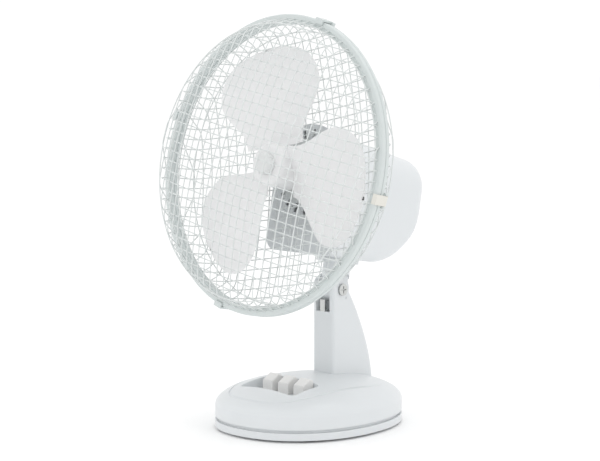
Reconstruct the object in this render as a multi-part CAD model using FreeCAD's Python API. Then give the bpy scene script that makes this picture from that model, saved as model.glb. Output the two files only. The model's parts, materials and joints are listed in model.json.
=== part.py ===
"""Oscillating desk fan, nine inch class, with square-mesh guards and three piano keys.

Millimetres, +Z up. The origin is the centre of the base on the table. The fan blows towards -Y.
The head is drawn upright about the tilt pivot and then leaned back by HEAD_TILT as it is saved.
"""
import FreeCAD, Part
import math
import os

V = FreeCAD.Vector
X_AXIS = V(1, 0, 0)
Y_AXIS = V(0, 1, 0)
Z_AXIS = V(0, 0, 1)

# fits
RUNNING = 0.05        # radial clearance of a turning shaft
LOOSE = 0.4           # clearance of a moulded part that slides or nests
SEAT = 0.1            # gap between two parts that are screwed together

# base
BASE_HALF_WIDTH = 77.0
BASE_HALF_LENGTH = 93.0
BASE_POWER = 2.15     # superellipse power of the plan outline
BASE_EGG = 0.05       # how much wider the front is than the rear
FOOT_HEIGHT = 2.0
TRAY_HEIGHT = 8.5
SHADOW_GAP = 2.5      # height of the dark groove between tray and cover
SHOULDER_HEIGHT = 22.0
DOME_RISE = 25.0
DOME_CENTRE_Y = -5.0
BASE_WALL = 2.2

# keys
KEY_NAMES = ("off", "low", "high")
KEY_PITCH = 20.0
KEY_WIDTH = 12.5
KEY_FRONT_Y = -37.0
KEY_DEPTH = 13.0
KEY_FRONT_HEIGHT = 43.5
KEY_CREST = 4.0       # depth of the flat strip behind the sloping top
KEY_BACK_HEIGHT = 49.0
WELL_HALF_WIDTH = 35.0
WELL_FRONT_Y = -60.0
WELL_FLOOR = 33.0
KEY_SPRING_WIRE = 0.35
KEY_SPRING_RADIUS = 3.2

# column
COLUMN_FRONT_Y = 16.0
COLUMN_HALF_WIDTH = 13.0
COLUMN_FOOT_REAR_Y = 81.0
COLUMN_FOOT_Z = 20.0
COLUMN_WALL = 2.5
COLUMN_TAIL_RADIUS = 7.0

# tilt pivot
PIVOT_Y = 31.0
PIVOT_Z = 124.0
SLOT_HALF_WIDTH = 8.7
SLOT_BOTTOM_Z = 104.0
BOLT_RADIUS = 2.5
BOLT_HEAD_RADIUS = 5.5
BOLT_HEAD_DEPTH = 2.5
WASHER_THICKNESS = 0.4
LUG_RADIUS = 12.0

# neck, measured from the tilt pivot
HEAD_TILT = 10.5      # degrees that the nose points up at rest
NECK_RADIUS = 13.0
COLLAR_RADIUS = 20.0
COLLAR_BOTTOM = 25.0
BOSS_TOP = 48.0
PIN_RADIUS = 4.5
PIN_BUSH_WALL = 2.5

# motor, measured from the tilt pivot along the motor axis
AXIS_HEIGHT = 103.7
HOUSING_FRONT_Y = -53.0
HOUSING_SPLIT_Y = -33.0
HOUSING_REAR_Y = 87.0
HOUSING_BOTTOM = 29.0
HOUSING_WALL = 2.2
HOUSING_END_RADIUS = 18.0
SHAFT_RADIUS = 4.0
STATOR_HALF_SIDE = 25.5
STATOR_FRONT_Y = -32.0
STATOR_REAR_Y = -8.0
ROTOR_RADIUS = 15.0
AIR_GAP = 0.6
WINDING_RADIUS = 24.0
MOTOR_CORNER_RADIUS = 6.0
BEARING_RADIUS = 8.0
THROUGH_BOLT_RADIUS = 1.8
THROUGH_BOLT_OFFSET = 20.5

# gearbox
GEAR_MODULE = 0.6
WORM_WHEEL_TEETH = 32
PINION_TEETH = 8
CRANK_GEAR_TEETH = 38
GEAR_AXIS_Y = 30.0
WORM_PITCH_RADIUS = 4.2
CRANK_RADIUS = 9.5
LINK_PIN_OFFSET = 16.0
LINK_HEIGHT = 56.0
LINK_THICKNESS = 2.0

# guards, measured from the tilt pivot
RING_PLANE_Y = -102.5
RIM_RADIUS = 137.5
RIM_WIDTH = 8.5
RIM_THICKNESS = 4.2
RIM_PARTING = 0.4
GUARD_DEPTH = 42.0
GUARD_CORNER_RADIUS = 126.0
GUARD_CORNER_FILLET = 16.0
CROWN_RADIUS = 407.0
MESH_PITCH = 9.3
MESH_WIRES = 28
MESH_TURN = 10.0      # degrees that the mesh is turned in its ring, clockwise from the front
WIRE_SIZE = 1.2
PLATE_OUTER_RADIUS = 27.0
NUT_OUTER_RADIUS = 22.0
CLIP_ANGLES = (-10.0, 72.0, 163.0, 253.0)

# blades
BLADE_COUNT = 3
BLADE_CENTRE_Y = -95.0
BLADE_TIP_RADIUS = 111.0
BLADE_HALF_WIDTH = 53.0
BLADE_WIDEST_RADIUS = 73.0
BLADE_ROOT_HALF_WIDTH = 23.0
BLADE_THICKNESS = 1.8
BLADE_PITCH = 16.0    # axial rise of the helicoid per radian
BLADE_START_ANGLE = 108.0
HUB_RADIUS = 20.0
HUB_FRONT_Y = -105.0
HUB_REAR_Y = -79.0

# details that follow from the sizes above
COVER_BOTTOM = TRAY_HEIGHT + SHADOW_GAP
WELL_BACK_Y = KEY_FRONT_Y + KEY_DEPTH + 1.0
KEY_SLOT_FLOOR = WELL_FLOOR - BASE_WALL
KEY_FLANGE_THICKNESS = 2.6
SWITCH_TOP = 20.0
INLET_Z = 15.5
INLET_RADIUS = 3.5
INLET_WALL = 1.8
INLET_FLANGE = 1.2
FOOT_RADIUS = 8.0
FOOT_SPOTS = [(0, 0)] + [(x, y) for x in (-50, 50) for y in (-55, 52)]
COLUMN_SCREW_SPOTS = [(0, 30), (0, 62)]
TRAY_SCREW_SPOTS = [(-42, 0), (42, 0), (0, -76)]
COLUMN_SCREW_RADIUS = 2.0
TRAY_SCREW_RADIUS = 1.5
WHEEL_AXIS_X = WORM_PITCH_RADIUS + GEAR_MODULE * WORM_WHEEL_TEETH / 2
CRANK_GEAR_BOTTOM = 80.0
CRANK_GEAR_HEIGHT = 6.0
CASE_LEFT_X = -15.0
CASE_RIGHT_X = 27.0
CASE_BOTTOM = 76.0
CASE_TOP = 112.0
CASE_FRONT_Y = 12.0
CASE_REAR_Y = 45.0
CASE_WALL = 2.0
FRONT_BEARING = (-49.0, -41.5)
REAR_BEARING = (1.0, 9.0)
DRIVE_PIN_Y = HUB_REAR_Y - 2.2
NOSE_RADIUS = 12.0
CLIP_WIDTH = 9.0
CLIP_WALL = 1.8
KNOB_RADIUS = 10.0
KNOB_LENGTH = 10.0


# ---------------------------------------------------------------- helpers
def box(x0, x1, y0, y1, z0, z1):
    return Part.makeBox(x1 - x0, y1 - y0, z1 - z0, V(x0, y0, z0))


def rod(radius, start, end):
    """Cylinder of this radius from one point to another."""
    start, end = V(*start), V(*end)
    return Part.makeCylinder(radius, (end - start).Length, start, end - start)


def tube(outer, inner, start, end):
    return rod(outer, start, end).cut(rod(inner, start, end))


def on_axis(y, x=0.0, z=0.0):
    """A point near the motor axis at station y, offset by x and z."""
    return (x, y, AXIS_HEIGHT + z)


def rounded_box(x0, x1, y0, y1, z0, z1, radius):
    """Box whose four upright edges are rounded."""
    block = box(x0, x1, y0, y1, z0, z1)
    upright = [e for e in block.Edges if abs(e.tangentAt(e.FirstParameter).z) > 0.99]
    return block.makeFillet(radius, upright)


def closed_wire(edges):
    return Part.Wire(Part.__sortEdges__(edges))


def line(a, b):
    return Part.LineSegment(V(*a), V(*b)).toShape()


def arc(a, middle, b):
    return Part.Arc(V(*a), V(*middle), V(*b)).toShape()


def polygon(points):
    return Part.Face(Part.makePolygon([V(*p) for p in points] + [V(*points[0])]))


def prism(points, direction):
    return polygon(points).extrude(V(*direction))


def loft(wires):
    return Part.makeLoft(wires, True, False)


def save(name, shape):
    shape.exportStep("parts/" + name + ".step")


def lean_back(shape):
    """Moves a head part from its upright drawing to its place on the tilted head."""
    placed = shape.copy()
    placed.rotate(V(0, 0, 0), X_AXIS, -HEAD_TILT)
    placed.translate(V(0, PIVOT_Y, PIVOT_Z))
    return placed


def save_head(name, shape):
    save(name, lean_back(shape))


# ---------------------------------------------------------------- base
def base_outline(scale, z, inset):
    """Egg-shaped superellipse at height z: polar radius from the two half sizes."""
    points = []
    steps = 48
    for i in range(steps):
        angle = 2 * math.pi * i / steps
        half_x = (BASE_HALF_WIDTH - inset) * (1 - BASE_EGG * math.sin(angle))
        half_y = BASE_HALF_LENGTH - inset
        cosine = abs(math.cos(angle) / half_x) ** BASE_POWER
        sine = abs(math.sin(angle) / half_y) ** BASE_POWER
        radius = scale * (cosine + sine) ** (-1 / BASE_POWER)
        centre_y = DOME_CENTRE_Y * (1 - scale)
        points.append(V(radius * math.cos(angle), centre_y + radius * math.sin(angle), z))
    curve = Part.BSplineCurve()
    curve.interpolate(points, PeriodicFlag=True)
    return Part.Wire([curve.toShape()])


def dome_height(scale):
    return SHOULDER_HEIGHT + DOME_RISE * math.sqrt(max(0.0, 1 - scale * scale))


def base_dome(inset, bottom_z):
    """Solid under the cover's skin, lowered and drawn in by inset."""
    scales = [math.cos(math.radians(a)) for a in (0, 14, 28, 42, 56, 70, 82)]
    wall = [base_outline(1, bottom_z, inset), base_outline(1, SHOULDER_HEIGHT - inset, inset)]
    roof = [base_outline(s, dome_height(s) - inset, inset * s) for s in scales]
    skirt = Part.makeLoft(wall, True, True)
    return skirt.fuse(loft(roof))


def base_slab(bottom_z, top_z, inset):
    return Part.makeLoft([base_outline(1, bottom_z, inset), base_outline(1, top_z, inset)], True, True)


def key_centre(i):
    return (i - 1) * KEY_PITCH


def base_tray():
    """Shallow dish with a spigot that rises inside the cover, screw bosses and foot pockets."""
    dish = base_slab(FOOT_HEIGHT, TRAY_HEIGHT, 0)
    spigot = base_slab(TRAY_HEIGHT, COVER_BOTTOM + 4, BASE_WALL + LOOSE)
    hollow = base_slab(FOOT_HEIGHT + BASE_WALL, COVER_BOTTOM + 5, 2 * BASE_WALL + LOOSE)
    tray = dish.fuse(spigot).cut(hollow)
    for x, y in COLUMN_SCREW_SPOTS:
        tray = tray.fuse(rod(6, (x, y, FOOT_HEIGHT), (x, y, COLUMN_FOOT_Z - SEAT)))
    for x, y in TRAY_SCREW_SPOTS:
        tray = tray.fuse(rod(4, (x, y, FOOT_HEIGHT), (x, y, COVER_BOTTOM - SEAT)))
    for x, y in COLUMN_SCREW_SPOTS:
        tray = tray.cut(rod(COLUMN_SCREW_RADIUS + SEAT, (x, y, 0), (x, y, COLUMN_FOOT_Z)))
        tray = tray.cut(rod(4.2, (x, y, 0), (x, y, 8)))
    for x, y in TRAY_SCREW_SPOTS:
        tray = tray.cut(rod(TRAY_SCREW_RADIUS + SEAT, (x, y, 0), (x, y, COVER_BOTTOM)))
        tray = tray.cut(rod(3.2, (x, y, 0), (x, y, 5)))
    gap = INLET_RADIUS + INLET_WALL + INLET_FLANGE + LOOSE
    return tray.cut(box(-gap, gap, BASE_HALF_LENGTH - 12, BASE_HALF_LENGTH + 1, TRAY_HEIGHT, 30))


def base_cover():
    """Domed shell with the key well, the column's opening and bosses for the tray screws."""
    shell = base_dome(0, COVER_BOTTOM).cut(base_dome(BASE_WALL, COVER_BOTTOM - 1))
    corner = 5.0
    well_outside = rounded_box(
        -WELL_HALF_WIDTH - BASE_WALL, WELL_HALF_WIDTH + BASE_WALL,
        WELL_FRONT_Y - BASE_WALL, WELL_BACK_Y + BASE_WALL,
        KEY_SLOT_FLOOR, SHOULDER_HEIGHT + DOME_RISE + 5, corner + BASE_WALL)
    well_inside = rounded_box(
        -WELL_HALF_WIDTH, WELL_HALF_WIDTH, WELL_FRONT_Y, WELL_BACK_Y,
        WELL_FLOOR, SHOULDER_HEIGHT + DOME_RISE + 6, corner)
    cover = shell.fuse(well_outside.common(base_dome(0, COVER_BOTTOM))).cut(well_inside)
    for i in range(len(KEY_NAMES)):
        x = key_centre(i)
        half = KEY_WIDTH / 2 + LOOSE
        cover = cover.cut(box(x - half, x + half, KEY_FRONT_Y - LOOSE, KEY_FRONT_Y + KEY_DEPTH + LOOSE,
                              KEY_SLOT_FLOOR - 1, WELL_FLOOR + 1))
    cover = cover.cut(column_body(-LOOSE))
    for x, y in TRAY_SCREW_SPOTS:
        boss = rod(4, (x, y, COVER_BOTTOM), (x, y, SHOULDER_HEIGHT + DOME_RISE))
        boss = boss.common(base_dome(BASE_WALL / 2, COVER_BOTTOM - 1))
        bore = rod(TRAY_SCREW_RADIUS, (x, y, COVER_BOTTOM - 1), (x, y, COVER_BOTTOM + 9))
        cover = cover.fuse(boss).cut(bore)
    bush = INLET_RADIUS + INLET_WALL + SEAT
    return cover.cut(rod(bush, (0, BASE_HALF_LENGTH - 12, INLET_Z), (0, BASE_HALF_LENGTH + 5, INLET_Z)))


def inlet_bush():
    """Grommet with two flanges that guards the mains lead's way through the rear wall."""
    outer = INLET_RADIUS + INLET_WALL
    wall_out = BASE_HALF_LENGTH
    wall_in = BASE_HALF_LENGTH - BASE_WALL
    body = rod(outer, (0, wall_in - 3, INLET_Z), (0, wall_out + SEAT, INLET_Z))
    inner_flange = rod(outer + INLET_FLANGE, (0, wall_in - 3, INLET_Z), (0, wall_in - 1.2, INLET_Z))
    outer_flange = rod(outer + INLET_FLANGE, (0, wall_out + SEAT, INLET_Z), (0, wall_out + 1.2, INLET_Z))
    bore = rod(INLET_RADIUS, (0, wall_in - 4, INLET_Z), (0, wall_out + 2, INLET_Z))
    return body.fuse(inner_flange).fuse(outer_flange).cut(bore)


def rubber_feet():
    feet = [rod(FOOT_RADIUS, (x, y, 0), (x, y, FOOT_HEIGHT)) for x, y in FOOT_SPOTS]
    return Part.makeCompound(feet)


def screws(spots, radius, head_radius, head_z, tip_z):
    """Pan-head screws driven upwards: head from head_z, shank to tip_z."""
    made = []
    for x, y in spots:
        head = rod(head_radius, (x, y, head_z - 2), (x, y, head_z))
        made.append(head.fuse(rod(radius, (x, y, head_z), (x, y, tip_z))))
    return Part.makeCompound(made)


def ballast_plate():
    """Steel plate in the front of the tray that keeps the fan from tipping."""
    floor = FOOT_HEIGHT + BASE_WALL
    return rounded_box(-32, 32, -68, -12, floor, floor + 3, 6)


def switch_body():
    """Three-way key switch: a case with one plunger bore for each key."""
    floor = FOOT_HEIGHT + BASE_WALL + 3
    middle_y = KEY_FRONT_Y + KEY_DEPTH / 2
    half_x = KEY_PITCH + 9
    case = rounded_box(-half_x, half_x, middle_y - 9, middle_y + 9, floor, SWITCH_TOP, 2)
    for i in range(len(KEY_NAMES)):
        x = key_centre(i)
        case = case.cut(rod(1.9 + LOOSE, (x, middle_y, floor + 2), (x, middle_y, SWITCH_TOP + 1)))
    return case


def key(i):
    """Piano key: a cap with a sloping top, a retaining flange and a plunger."""
    x = key_centre(i)
    half = KEY_WIDTH / 2
    back_y = KEY_FRONT_Y + KEY_DEPTH
    side = [
        (x - half, KEY_FRONT_Y, KEY_SLOT_FLOOR - LOOSE),
        (x - half, KEY_FRONT_Y, KEY_FRONT_HEIGHT),
        (x - half, back_y - KEY_CREST, KEY_BACK_HEIGHT),
        (x - half, back_y, KEY_BACK_HEIGHT - 2),
        (x - half, back_y, KEY_SLOT_FLOOR - LOOSE),
    ]
    cap = prism(side, (KEY_WIDTH, 0, 0))
    top_edges = [e for e in cap.Edges if e.BoundBox.ZMin > KEY_FRONT_HEIGHT - 1]
    cap = cap.makeFillet(1.4, top_edges)
    flange_top = KEY_SLOT_FLOOR - LOOSE
    flange = box(x - half - 1.5, x + half + 1.5, KEY_FRONT_Y - 1.2, back_y + 1.2,
                 flange_top - KEY_FLANGE_THICKNESS, flange_top)
    middle_y = KEY_FRONT_Y + KEY_DEPTH / 2
    plunger = rod(1.9, (x, middle_y, SWITCH_TOP - 7), (x, middle_y, flange_top))
    return cap.fuse(flange).fuse(plunger).removeSplitter()


def key_spring(i):
    """Coil spring round the plunger, between the switch and the key's flange."""
    x = key_centre(i)
    middle_y = KEY_FRONT_Y + KEY_DEPTH / 2
    low = SWITCH_TOP + KEY_SPRING_WIRE + 0.05
    high = KEY_SLOT_FLOOR - LOOSE - KEY_FLANGE_THICKNESS - KEY_SPRING_WIRE - 0.05
    turns = 4
    helix = Part.makeHelix((high - low) / turns, high - low, KEY_SPRING_RADIUS)
    section = Part.Wire([Part.makeCircle(KEY_SPRING_WIRE, V(KEY_SPRING_RADIUS, 0, 0), Y_AXIS)])
    coil = Part.Wire(helix).makePipeShell([section], True, True)
    coil.translate(V(x, middle_y, low))
    return coil


# ---------------------------------------------------------------- column
def column_rear_y(z):
    """Rear edge: upright under the pivot, then sweeping back towards the foot."""
    top_rear = 2 * PIVOT_Y - COLUMN_FRONT_Y
    down = max(0.0, (PIVOT_Z - z) / (PIVOT_Z - 29.0))
    return top_rear + (COLUMN_FOOT_REAR_Y - top_rear) * (1 - (1 - min(1.0, down)) ** 1.7)


def column_section(z, inset):
    """Flat front with small corners and sides that close onto a round tail."""
    half = COLUMN_HALF_WIDTH - inset
    front = COLUMN_FRONT_Y + inset
    corner = 3.0
    tail = COLUMN_TAIL_RADIUS - inset
    centre = V(0, column_rear_y(z) - COLUMN_TAIL_RADIUS, z)
    side = V(half, front + corner, z)
    reach = side - centre
    turn = math.acos(tail / reach.Length)
    heading = math.atan2(reach.y, reach.x) + turn
    touch = centre + V(math.cos(heading), math.sin(heading), 0) * tail
    left = V(-touch.x, touch.y, z)
    diagonal = corner * (1 - math.sqrt(0.5))
    edges = [
        line((-half + corner, front, z), (half - corner, front, z)),
        arc((half - corner, front, z), (half - diagonal, front + diagonal, z), side),
        Part.LineSegment(side, touch).toShape(),
        Part.Arc(touch, centre + V(0, tail, 0), left).toShape(),
        Part.LineSegment(left, V(-side.x, side.y, z)).toShape(),
        arc(V(-side.x, side.y, z), (-half + diagonal, front + diagonal, z), (-half + corner, front, z)),
    ]
    return Part.Wire(edges)


def column_body(inset):
    """The column's outer form, drawn in by inset, from its foot to the knuckle at the pivot."""
    levels = [PIVOT_Z - (PIVOT_Z - COLUMN_FOOT_Z) * i / 5 for i in range(6)]
    stem = loft([column_section(z, inset) for z in levels])
    knuckle_radius = PIVOT_Y - COLUMN_FRONT_Y - inset
    half = COLUMN_HALF_WIDTH - inset
    knuckle = rod(knuckle_radius, (-half, PIVOT_Y, PIVOT_Z), (half, PIVOT_Y, PIVOT_Z))
    knuckle = knuckle.common(knuckle_envelope(inset))
    return stem.fuse(knuckle)


def knuckle_envelope(inset):
    """Upright bar with the column's top section, which rounds the knuckle in plan."""
    bar = Part.Face(column_section(PIVOT_Z, inset)).extrude(V(0, 0, 30))
    return bar.fuse(Part.Face(column_section(PIVOT_Z, inset)).extrude(V(0, 0, -12)))


def column():
    """Hollow stem with a floor for its screws, two cheeks and a slot for the neck's lug."""
    body = column_body(0)
    levels = [SLOT_BOTTOM_Z - 4 - (SLOT_BOTTOM_Z - 4 - COLUMN_FOOT_Z - 3) * i / 4 for i in range(5)]
    body = body.cut(loft([column_section(z, COLUMN_WALL) for z in levels]))
    slot = box(-SLOT_HALF_WIDTH, SLOT_HALF_WIDTH, 0, PIVOT_Y, SLOT_BOTTOM_Z, PIVOT_Z + 30)
    pocket_radius = LUG_RADIUS + LOOSE
    pocket_start = (-SLOT_HALF_WIDTH, PIVOT_Y, PIVOT_Z)
    pocket = rod(pocket_radius, pocket_start, (SLOT_HALF_WIDTH, PIVOT_Y, PIVOT_Z))
    upper = box(-SLOT_HALF_WIDTH, SLOT_HALF_WIDTH, 0, 90, PIVOT_Z, PIVOT_Z + 30)
    body = body.cut(slot.fuse(pocket).fuse(upper))
    hole = rod(BOLT_RADIUS + SEAT, (-20, PIVOT_Y, PIVOT_Z), (20, PIVOT_Y, PIVOT_Z))
    recess_x = COLUMN_HALF_WIDTH - BOLT_HEAD_DEPTH
    recess = rod(BOLT_HEAD_RADIUS + LOOSE, (recess_x, PIVOT_Y, PIVOT_Z), (20, PIVOT_Y, PIVOT_Z))
    nut_recess = rod(BOLT_HEAD_RADIUS + LOOSE, (-20, PIVOT_Y, PIVOT_Z), (-recess_x, PIVOT_Y, PIVOT_Z))
    body = body.cut(hole.fuse(recess).fuse(nut_recess))
    for x, y in COLUMN_SCREW_SPOTS:
        body = body.cut(rod(COLUMN_SCREW_RADIUS, (x, y, 0), (x, y, COLUMN_FOOT_Z + 4)))
    return body


def tilt_stop():
    """Small steel stop bracket standing on the slot's floor."""
    y0 = COLUMN_FRONT_Y + 0.6
    foot = box(-4, 2, y0, y0 + 7, SLOT_BOTTOM_Z, SLOT_BOTTOM_Z + 1.2)
    blade = box(-4, 2, y0, y0 + 1.4, SLOT_BOTTOM_Z, PIVOT_Z - 9)
    return foot.fuse(blade).removeSplitter()


def pivot_bolt():
    """Pan-head bolt through both cheeks, with a cross slot in its head."""
    seat_x = COLUMN_HALF_WIDTH - BOLT_HEAD_DEPTH
    shank = rod(BOLT_RADIUS, (-seat_x - 2.4, PIVOT_Y, PIVOT_Z), (seat_x, PIVOT_Y, PIVOT_Z))
    head = rod(BOLT_HEAD_RADIUS, (seat_x, PIVOT_Y, PIVOT_Z), (seat_x + 2.2, PIVOT_Y, PIVOT_Z))
    slot_a = box(seat_x + 1, seat_x + 3, PIVOT_Y - 0.6, PIVOT_Y + 0.6, PIVOT_Z - 3.5, PIVOT_Z + 3.5)
    slot_b = box(seat_x + 1, seat_x + 3, PIVOT_Y - 3.5, PIVOT_Y + 3.5, PIVOT_Z - 0.6, PIVOT_Z + 0.6)
    return shank.fuse(head).cut(slot_a).cut(slot_b)


def pivot_nut():
    seat_x = COLUMN_HALF_WIDTH - BOLT_HEAD_DEPTH
    corners = []
    for i in range(6):
        angle = math.radians(60 * i)
        corners.append((-seat_x, PIVOT_Y + BOLT_HEAD_RADIUS * math.cos(angle),
                        PIVOT_Z + BOLT_HEAD_RADIUS * math.sin(angle)))
    nut = prism(corners, (-2.2, 0, 0))
    return nut.cut(rod(BOLT_RADIUS, (-20, PIVOT_Y, PIVOT_Z), (0, PIVOT_Y, PIVOT_Z)))


def pivot_washers():
    lug_half = SLOT_HALF_WIDTH - WASHER_THICKNESS - SEAT
    made = []
    for side in (-1, 1):
        start = (side * (lug_half + SEAT / 2), PIVOT_Y, PIVOT_Z)
        end = (side * (lug_half + SEAT / 2 + WASHER_THICKNESS), PIVOT_Y, PIVOT_Z)
        made.append(tube(7, BOLT_RADIUS + SEAT, start, end))
    return Part.makeCompound(made)


# ---------------------------------------------------------------- neck
def neck_bracket():
    """Lug on the tilt bolt, round post with a hollow for the knuckle, collar and pin boss."""
    lug_half = SLOT_HALF_WIDTH - WASHER_THICKNESS - SEAT
    lug = rod(LUG_RADIUS, (-lug_half, 0, 0), (lug_half, 0, 0))
    web = box(-lug_half, lug_half, 3 - LUG_RADIUS, LUG_RADIUS - 3, 0, COLLAR_BOTTOM)
    knuckle_radius = PIVOT_Y - COLUMN_FRONT_Y + LOOSE
    post = rod(NECK_RADIUS, (0, 0, 8), (0, 0, COLLAR_BOTTOM))
    post = post.cut(rod(knuckle_radius, (-30, 0, 0), (30, 0, 0)))
    collar = rod(COLLAR_RADIUS, (0, 0, COLLAR_BOTTOM), (0, 0, BOSS_TOP))
    body = lug.fuse(web).fuse(post).fuse(collar)
    body = body.cut(rod(BOLT_RADIUS + RUNNING, (-30, 0, 0), (30, 0, 0)))
    body = body.cut(rod(PIN_RADIUS + PIN_BUSH_WALL, (0, 0, COLLAR_BOTTOM), (0, 0, BOSS_TOP + 1)))
    return body.cut(rod(2.0, (LINK_PIN_OFFSET, 0, BOSS_TOP - 8), (LINK_PIN_OFFSET, 0, BOSS_TOP + 1)))


def pin_bush():
    """Sleeve in the collar that the oscillation pin turns in."""
    return tube(PIN_RADIUS + PIN_BUSH_WALL, PIN_RADIUS + RUNNING, (0, 0, COLLAR_BOTTOM), (0, 0, BOSS_TOP))


def link_pin():
    """Pin pressed into the collar that holds the crank link's fixed end."""
    top = LINK_HEIGHT + LINK_THICKNESS + 2
    return rod(2.0, (LINK_PIN_OFFSET, 0, BOSS_TOP - 8), (LINK_PIN_OFFSET, 0, top))


# ---------------------------------------------------------------- crank and gears


def crank_angle():
    """Crank angle at which the link's free end meets the crank pin with the head straight."""
    reach = math.hypot(LINK_PIN_OFFSET, GEAR_AXIS_Y)
    lean = math.atan2(LINK_PIN_OFFSET, GEAR_AXIS_Y)
    return lean + math.asin(-CRANK_RADIUS / reach)


def toothed_wheel(teeth, height, x, y, z, phase):
    """Spur wheel with straight-sided teeth, a little thinner than their gaps."""
    pitch_radius = GEAR_MODULE * teeth / 2
    root = pitch_radius - 1.1 * GEAR_MODULE
    tip = pitch_radius + 0.75 * GEAR_MODULE
    step = 2 * math.pi / teeth
    points = []
    for i in range(teeth):
        middle = phase + step * i
        for radius, share in ((root, -0.26), (tip, -0.09), (tip, 0.09), (root, 0.26)):
            angle = middle + share * step
            points.append((x + radius * math.cos(angle), y + radius * math.sin(angle), z))
    return prism(points, (0, 0, height))


def crank_gear():
    """Large wheel at the bottom of the gearbox on its upright shaft."""
    wheel = toothed_wheel(CRANK_GEAR_TEETH, CRANK_GEAR_HEIGHT, 0, GEAR_AXIS_Y, CRANK_GEAR_BOTTOM,
                          math.pi / CRANK_GEAR_TEETH)
    return wheel.fuse(rod(3, (0, GEAR_AXIS_Y, 70), (0, GEAR_AXIS_Y, CRANK_GEAR_BOTTOM + 7.5)))


def crank_arm():
    """Disc under the gearbox with the crank pin."""
    disc = rod(CRANK_RADIUS + 3.5, (0, GEAR_AXIS_Y, 66), (0, GEAR_AXIS_Y, 70))
    angle = crank_angle()
    x = CRANK_RADIUS * math.cos(angle)
    y = GEAR_AXIS_Y + CRANK_RADIUS * math.sin(angle)
    return disc.fuse(rod(2, (x, y, LINK_HEIGHT + LINK_THICKNESS + 1.5), (x, y, 66)))


def crank_link():
    """Flat steel link from the neck's pin towards the crank pin, with an eye at each end."""
    angle = crank_angle()
    end_x = CRANK_RADIUS * math.cos(angle)
    end_y = GEAR_AXIS_Y + CRANK_RADIUS * math.sin(angle)
    low, high = LINK_HEIGHT, LINK_HEIGHT + LINK_THICKNESS
    along = V(end_x - LINK_PIN_OFFSET, end_y, 0).normalize()
    across = V(-along.y, along.x, 0) * 2.6
    start = V(LINK_PIN_OFFSET, 0, low)
    end = V(end_x, end_y, low)
    bar = prism([start + across, end + across, end - across, start - across], (0, 0, LINK_THICKNESS))
    for x, y in ((LINK_PIN_OFFSET, 0), (end_x, end_y)):
        bar = bar.fuse(rod(4, (x, y, low), (x, y, high)))
    bar = bar.cut(rod(2.0 + RUNNING, (LINK_PIN_OFFSET, 0, low - 1), (LINK_PIN_OFFSET, 0, high + 1)))
    return bar.cut(rod(2.3, (end_x, end_y, low - 1), (end_x, end_y, high + 1)))


def worm_wheel():
    """Worm wheel and pinion moulded as one, turning on a fixed upright pin."""
    phase = math.pi + math.pi / WORM_WHEEL_TEETH
    wheel = toothed_wheel(WORM_WHEEL_TEETH, 6, WHEEL_AXIS_X, GEAR_AXIS_Y, AXIS_HEIGHT - 3, phase)
    pinion = toothed_wheel(PINION_TEETH, CRANK_GEAR_HEIGHT, WHEEL_AXIS_X, GEAR_AXIS_Y,
                           CRANK_GEAR_BOTTOM, math.pi)
    neck = rod(1.8, (WHEEL_AXIS_X, GEAR_AXIS_Y, CRANK_GEAR_BOTTOM), (WHEEL_AXIS_X, GEAR_AXIS_Y, AXIS_HEIGHT))
    body = wheel.fuse(neck).fuse(pinion)
    bore = rod(1.2 + RUNNING, (WHEEL_AXIS_X, GEAR_AXIS_Y, 70), (WHEEL_AXIS_X, GEAR_AXIS_Y, 120))
    return body.cut(bore)


def wheel_pin():
    low = CASE_BOTTOM + CASE_WALL
    return rod(1.2, (WHEEL_AXIS_X, GEAR_AXIS_Y, low), (WHEEL_AXIS_X, GEAR_AXIS_Y, CASE_TOP - CASE_WALL))


def gearbox_case():
    """Box open at the rear, bored for the motor shaft and the crank shaft."""
    outside = box(CASE_LEFT_X, CASE_RIGHT_X, CASE_FRONT_Y, CASE_REAR_Y, CASE_BOTTOM, CASE_TOP)
    inside = box(CASE_LEFT_X + CASE_WALL, CASE_RIGHT_X - CASE_WALL, CASE_FRONT_Y + CASE_WALL, CASE_REAR_Y + 1,
                 CASE_BOTTOM + CASE_WALL, CASE_TOP - CASE_WALL)
    case = outside.cut(inside)
    case = case.cut(rod(SHAFT_RADIUS + LOOSE, on_axis(0), on_axis(CASE_FRONT_Y + 5)))
    return case.cut(rod(3 + RUNNING, (0, GEAR_AXIS_Y, 70), (0, GEAR_AXIS_Y, CASE_BOTTOM + 5)))


def gearbox_lid():
    return rounded_plate(CASE_LEFT_X, CASE_RIGHT_X, CASE_REAR_Y, CASE_REAR_Y + 2, CASE_BOTTOM, CASE_TOP, 3)


def rounded_plate(x0, x1, y0, y1, z0, z1, radius):
    """Plate across the motor axis whose four corners are rounded."""
    plate = box(x0, x1, y0, y1, z0, z1)
    edges = [e for e in plate.Edges if abs(e.tangentAt(e.FirstParameter).y) > 0.99]
    return plate.makeFillet(radius, edges)


def oscillation_pin():
    """Pin under the motor that stands in the neck's bush and carries the head."""
    pin = rod(PIN_RADIUS, (0, 0, COLLAR_BOTTOM + 1), (0, 0, BOSS_TOP + 3))
    flange = rod(PIN_RADIUS + 2, (0, 0, BOSS_TOP + 1), (0, 0, BOSS_TOP + 4))
    post = rod(PIN_RADIUS, (0, 0, BOSS_TOP + 3), (0, 0, 70))
    return pin.fuse(flange).fuse(post)


# ---------------------------------------------------------------- motor
def stator_core():
    """Laminated square stack with a round bore for the rotor."""
    side = STATOR_HALF_SIDE
    stack = rounded_plate(-side, side, STATOR_FRONT_Y, STATOR_REAR_Y, AXIS_HEIGHT - side, AXIS_HEIGHT + side,
                          MOTOR_CORNER_RADIUS)
    bore = rod(ROTOR_RADIUS + AIR_GAP, on_axis(STATOR_FRONT_Y - 1), on_axis(STATOR_REAR_Y + 1))
    return stack.cut(bore).cut(through_bolt_holes())


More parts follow.
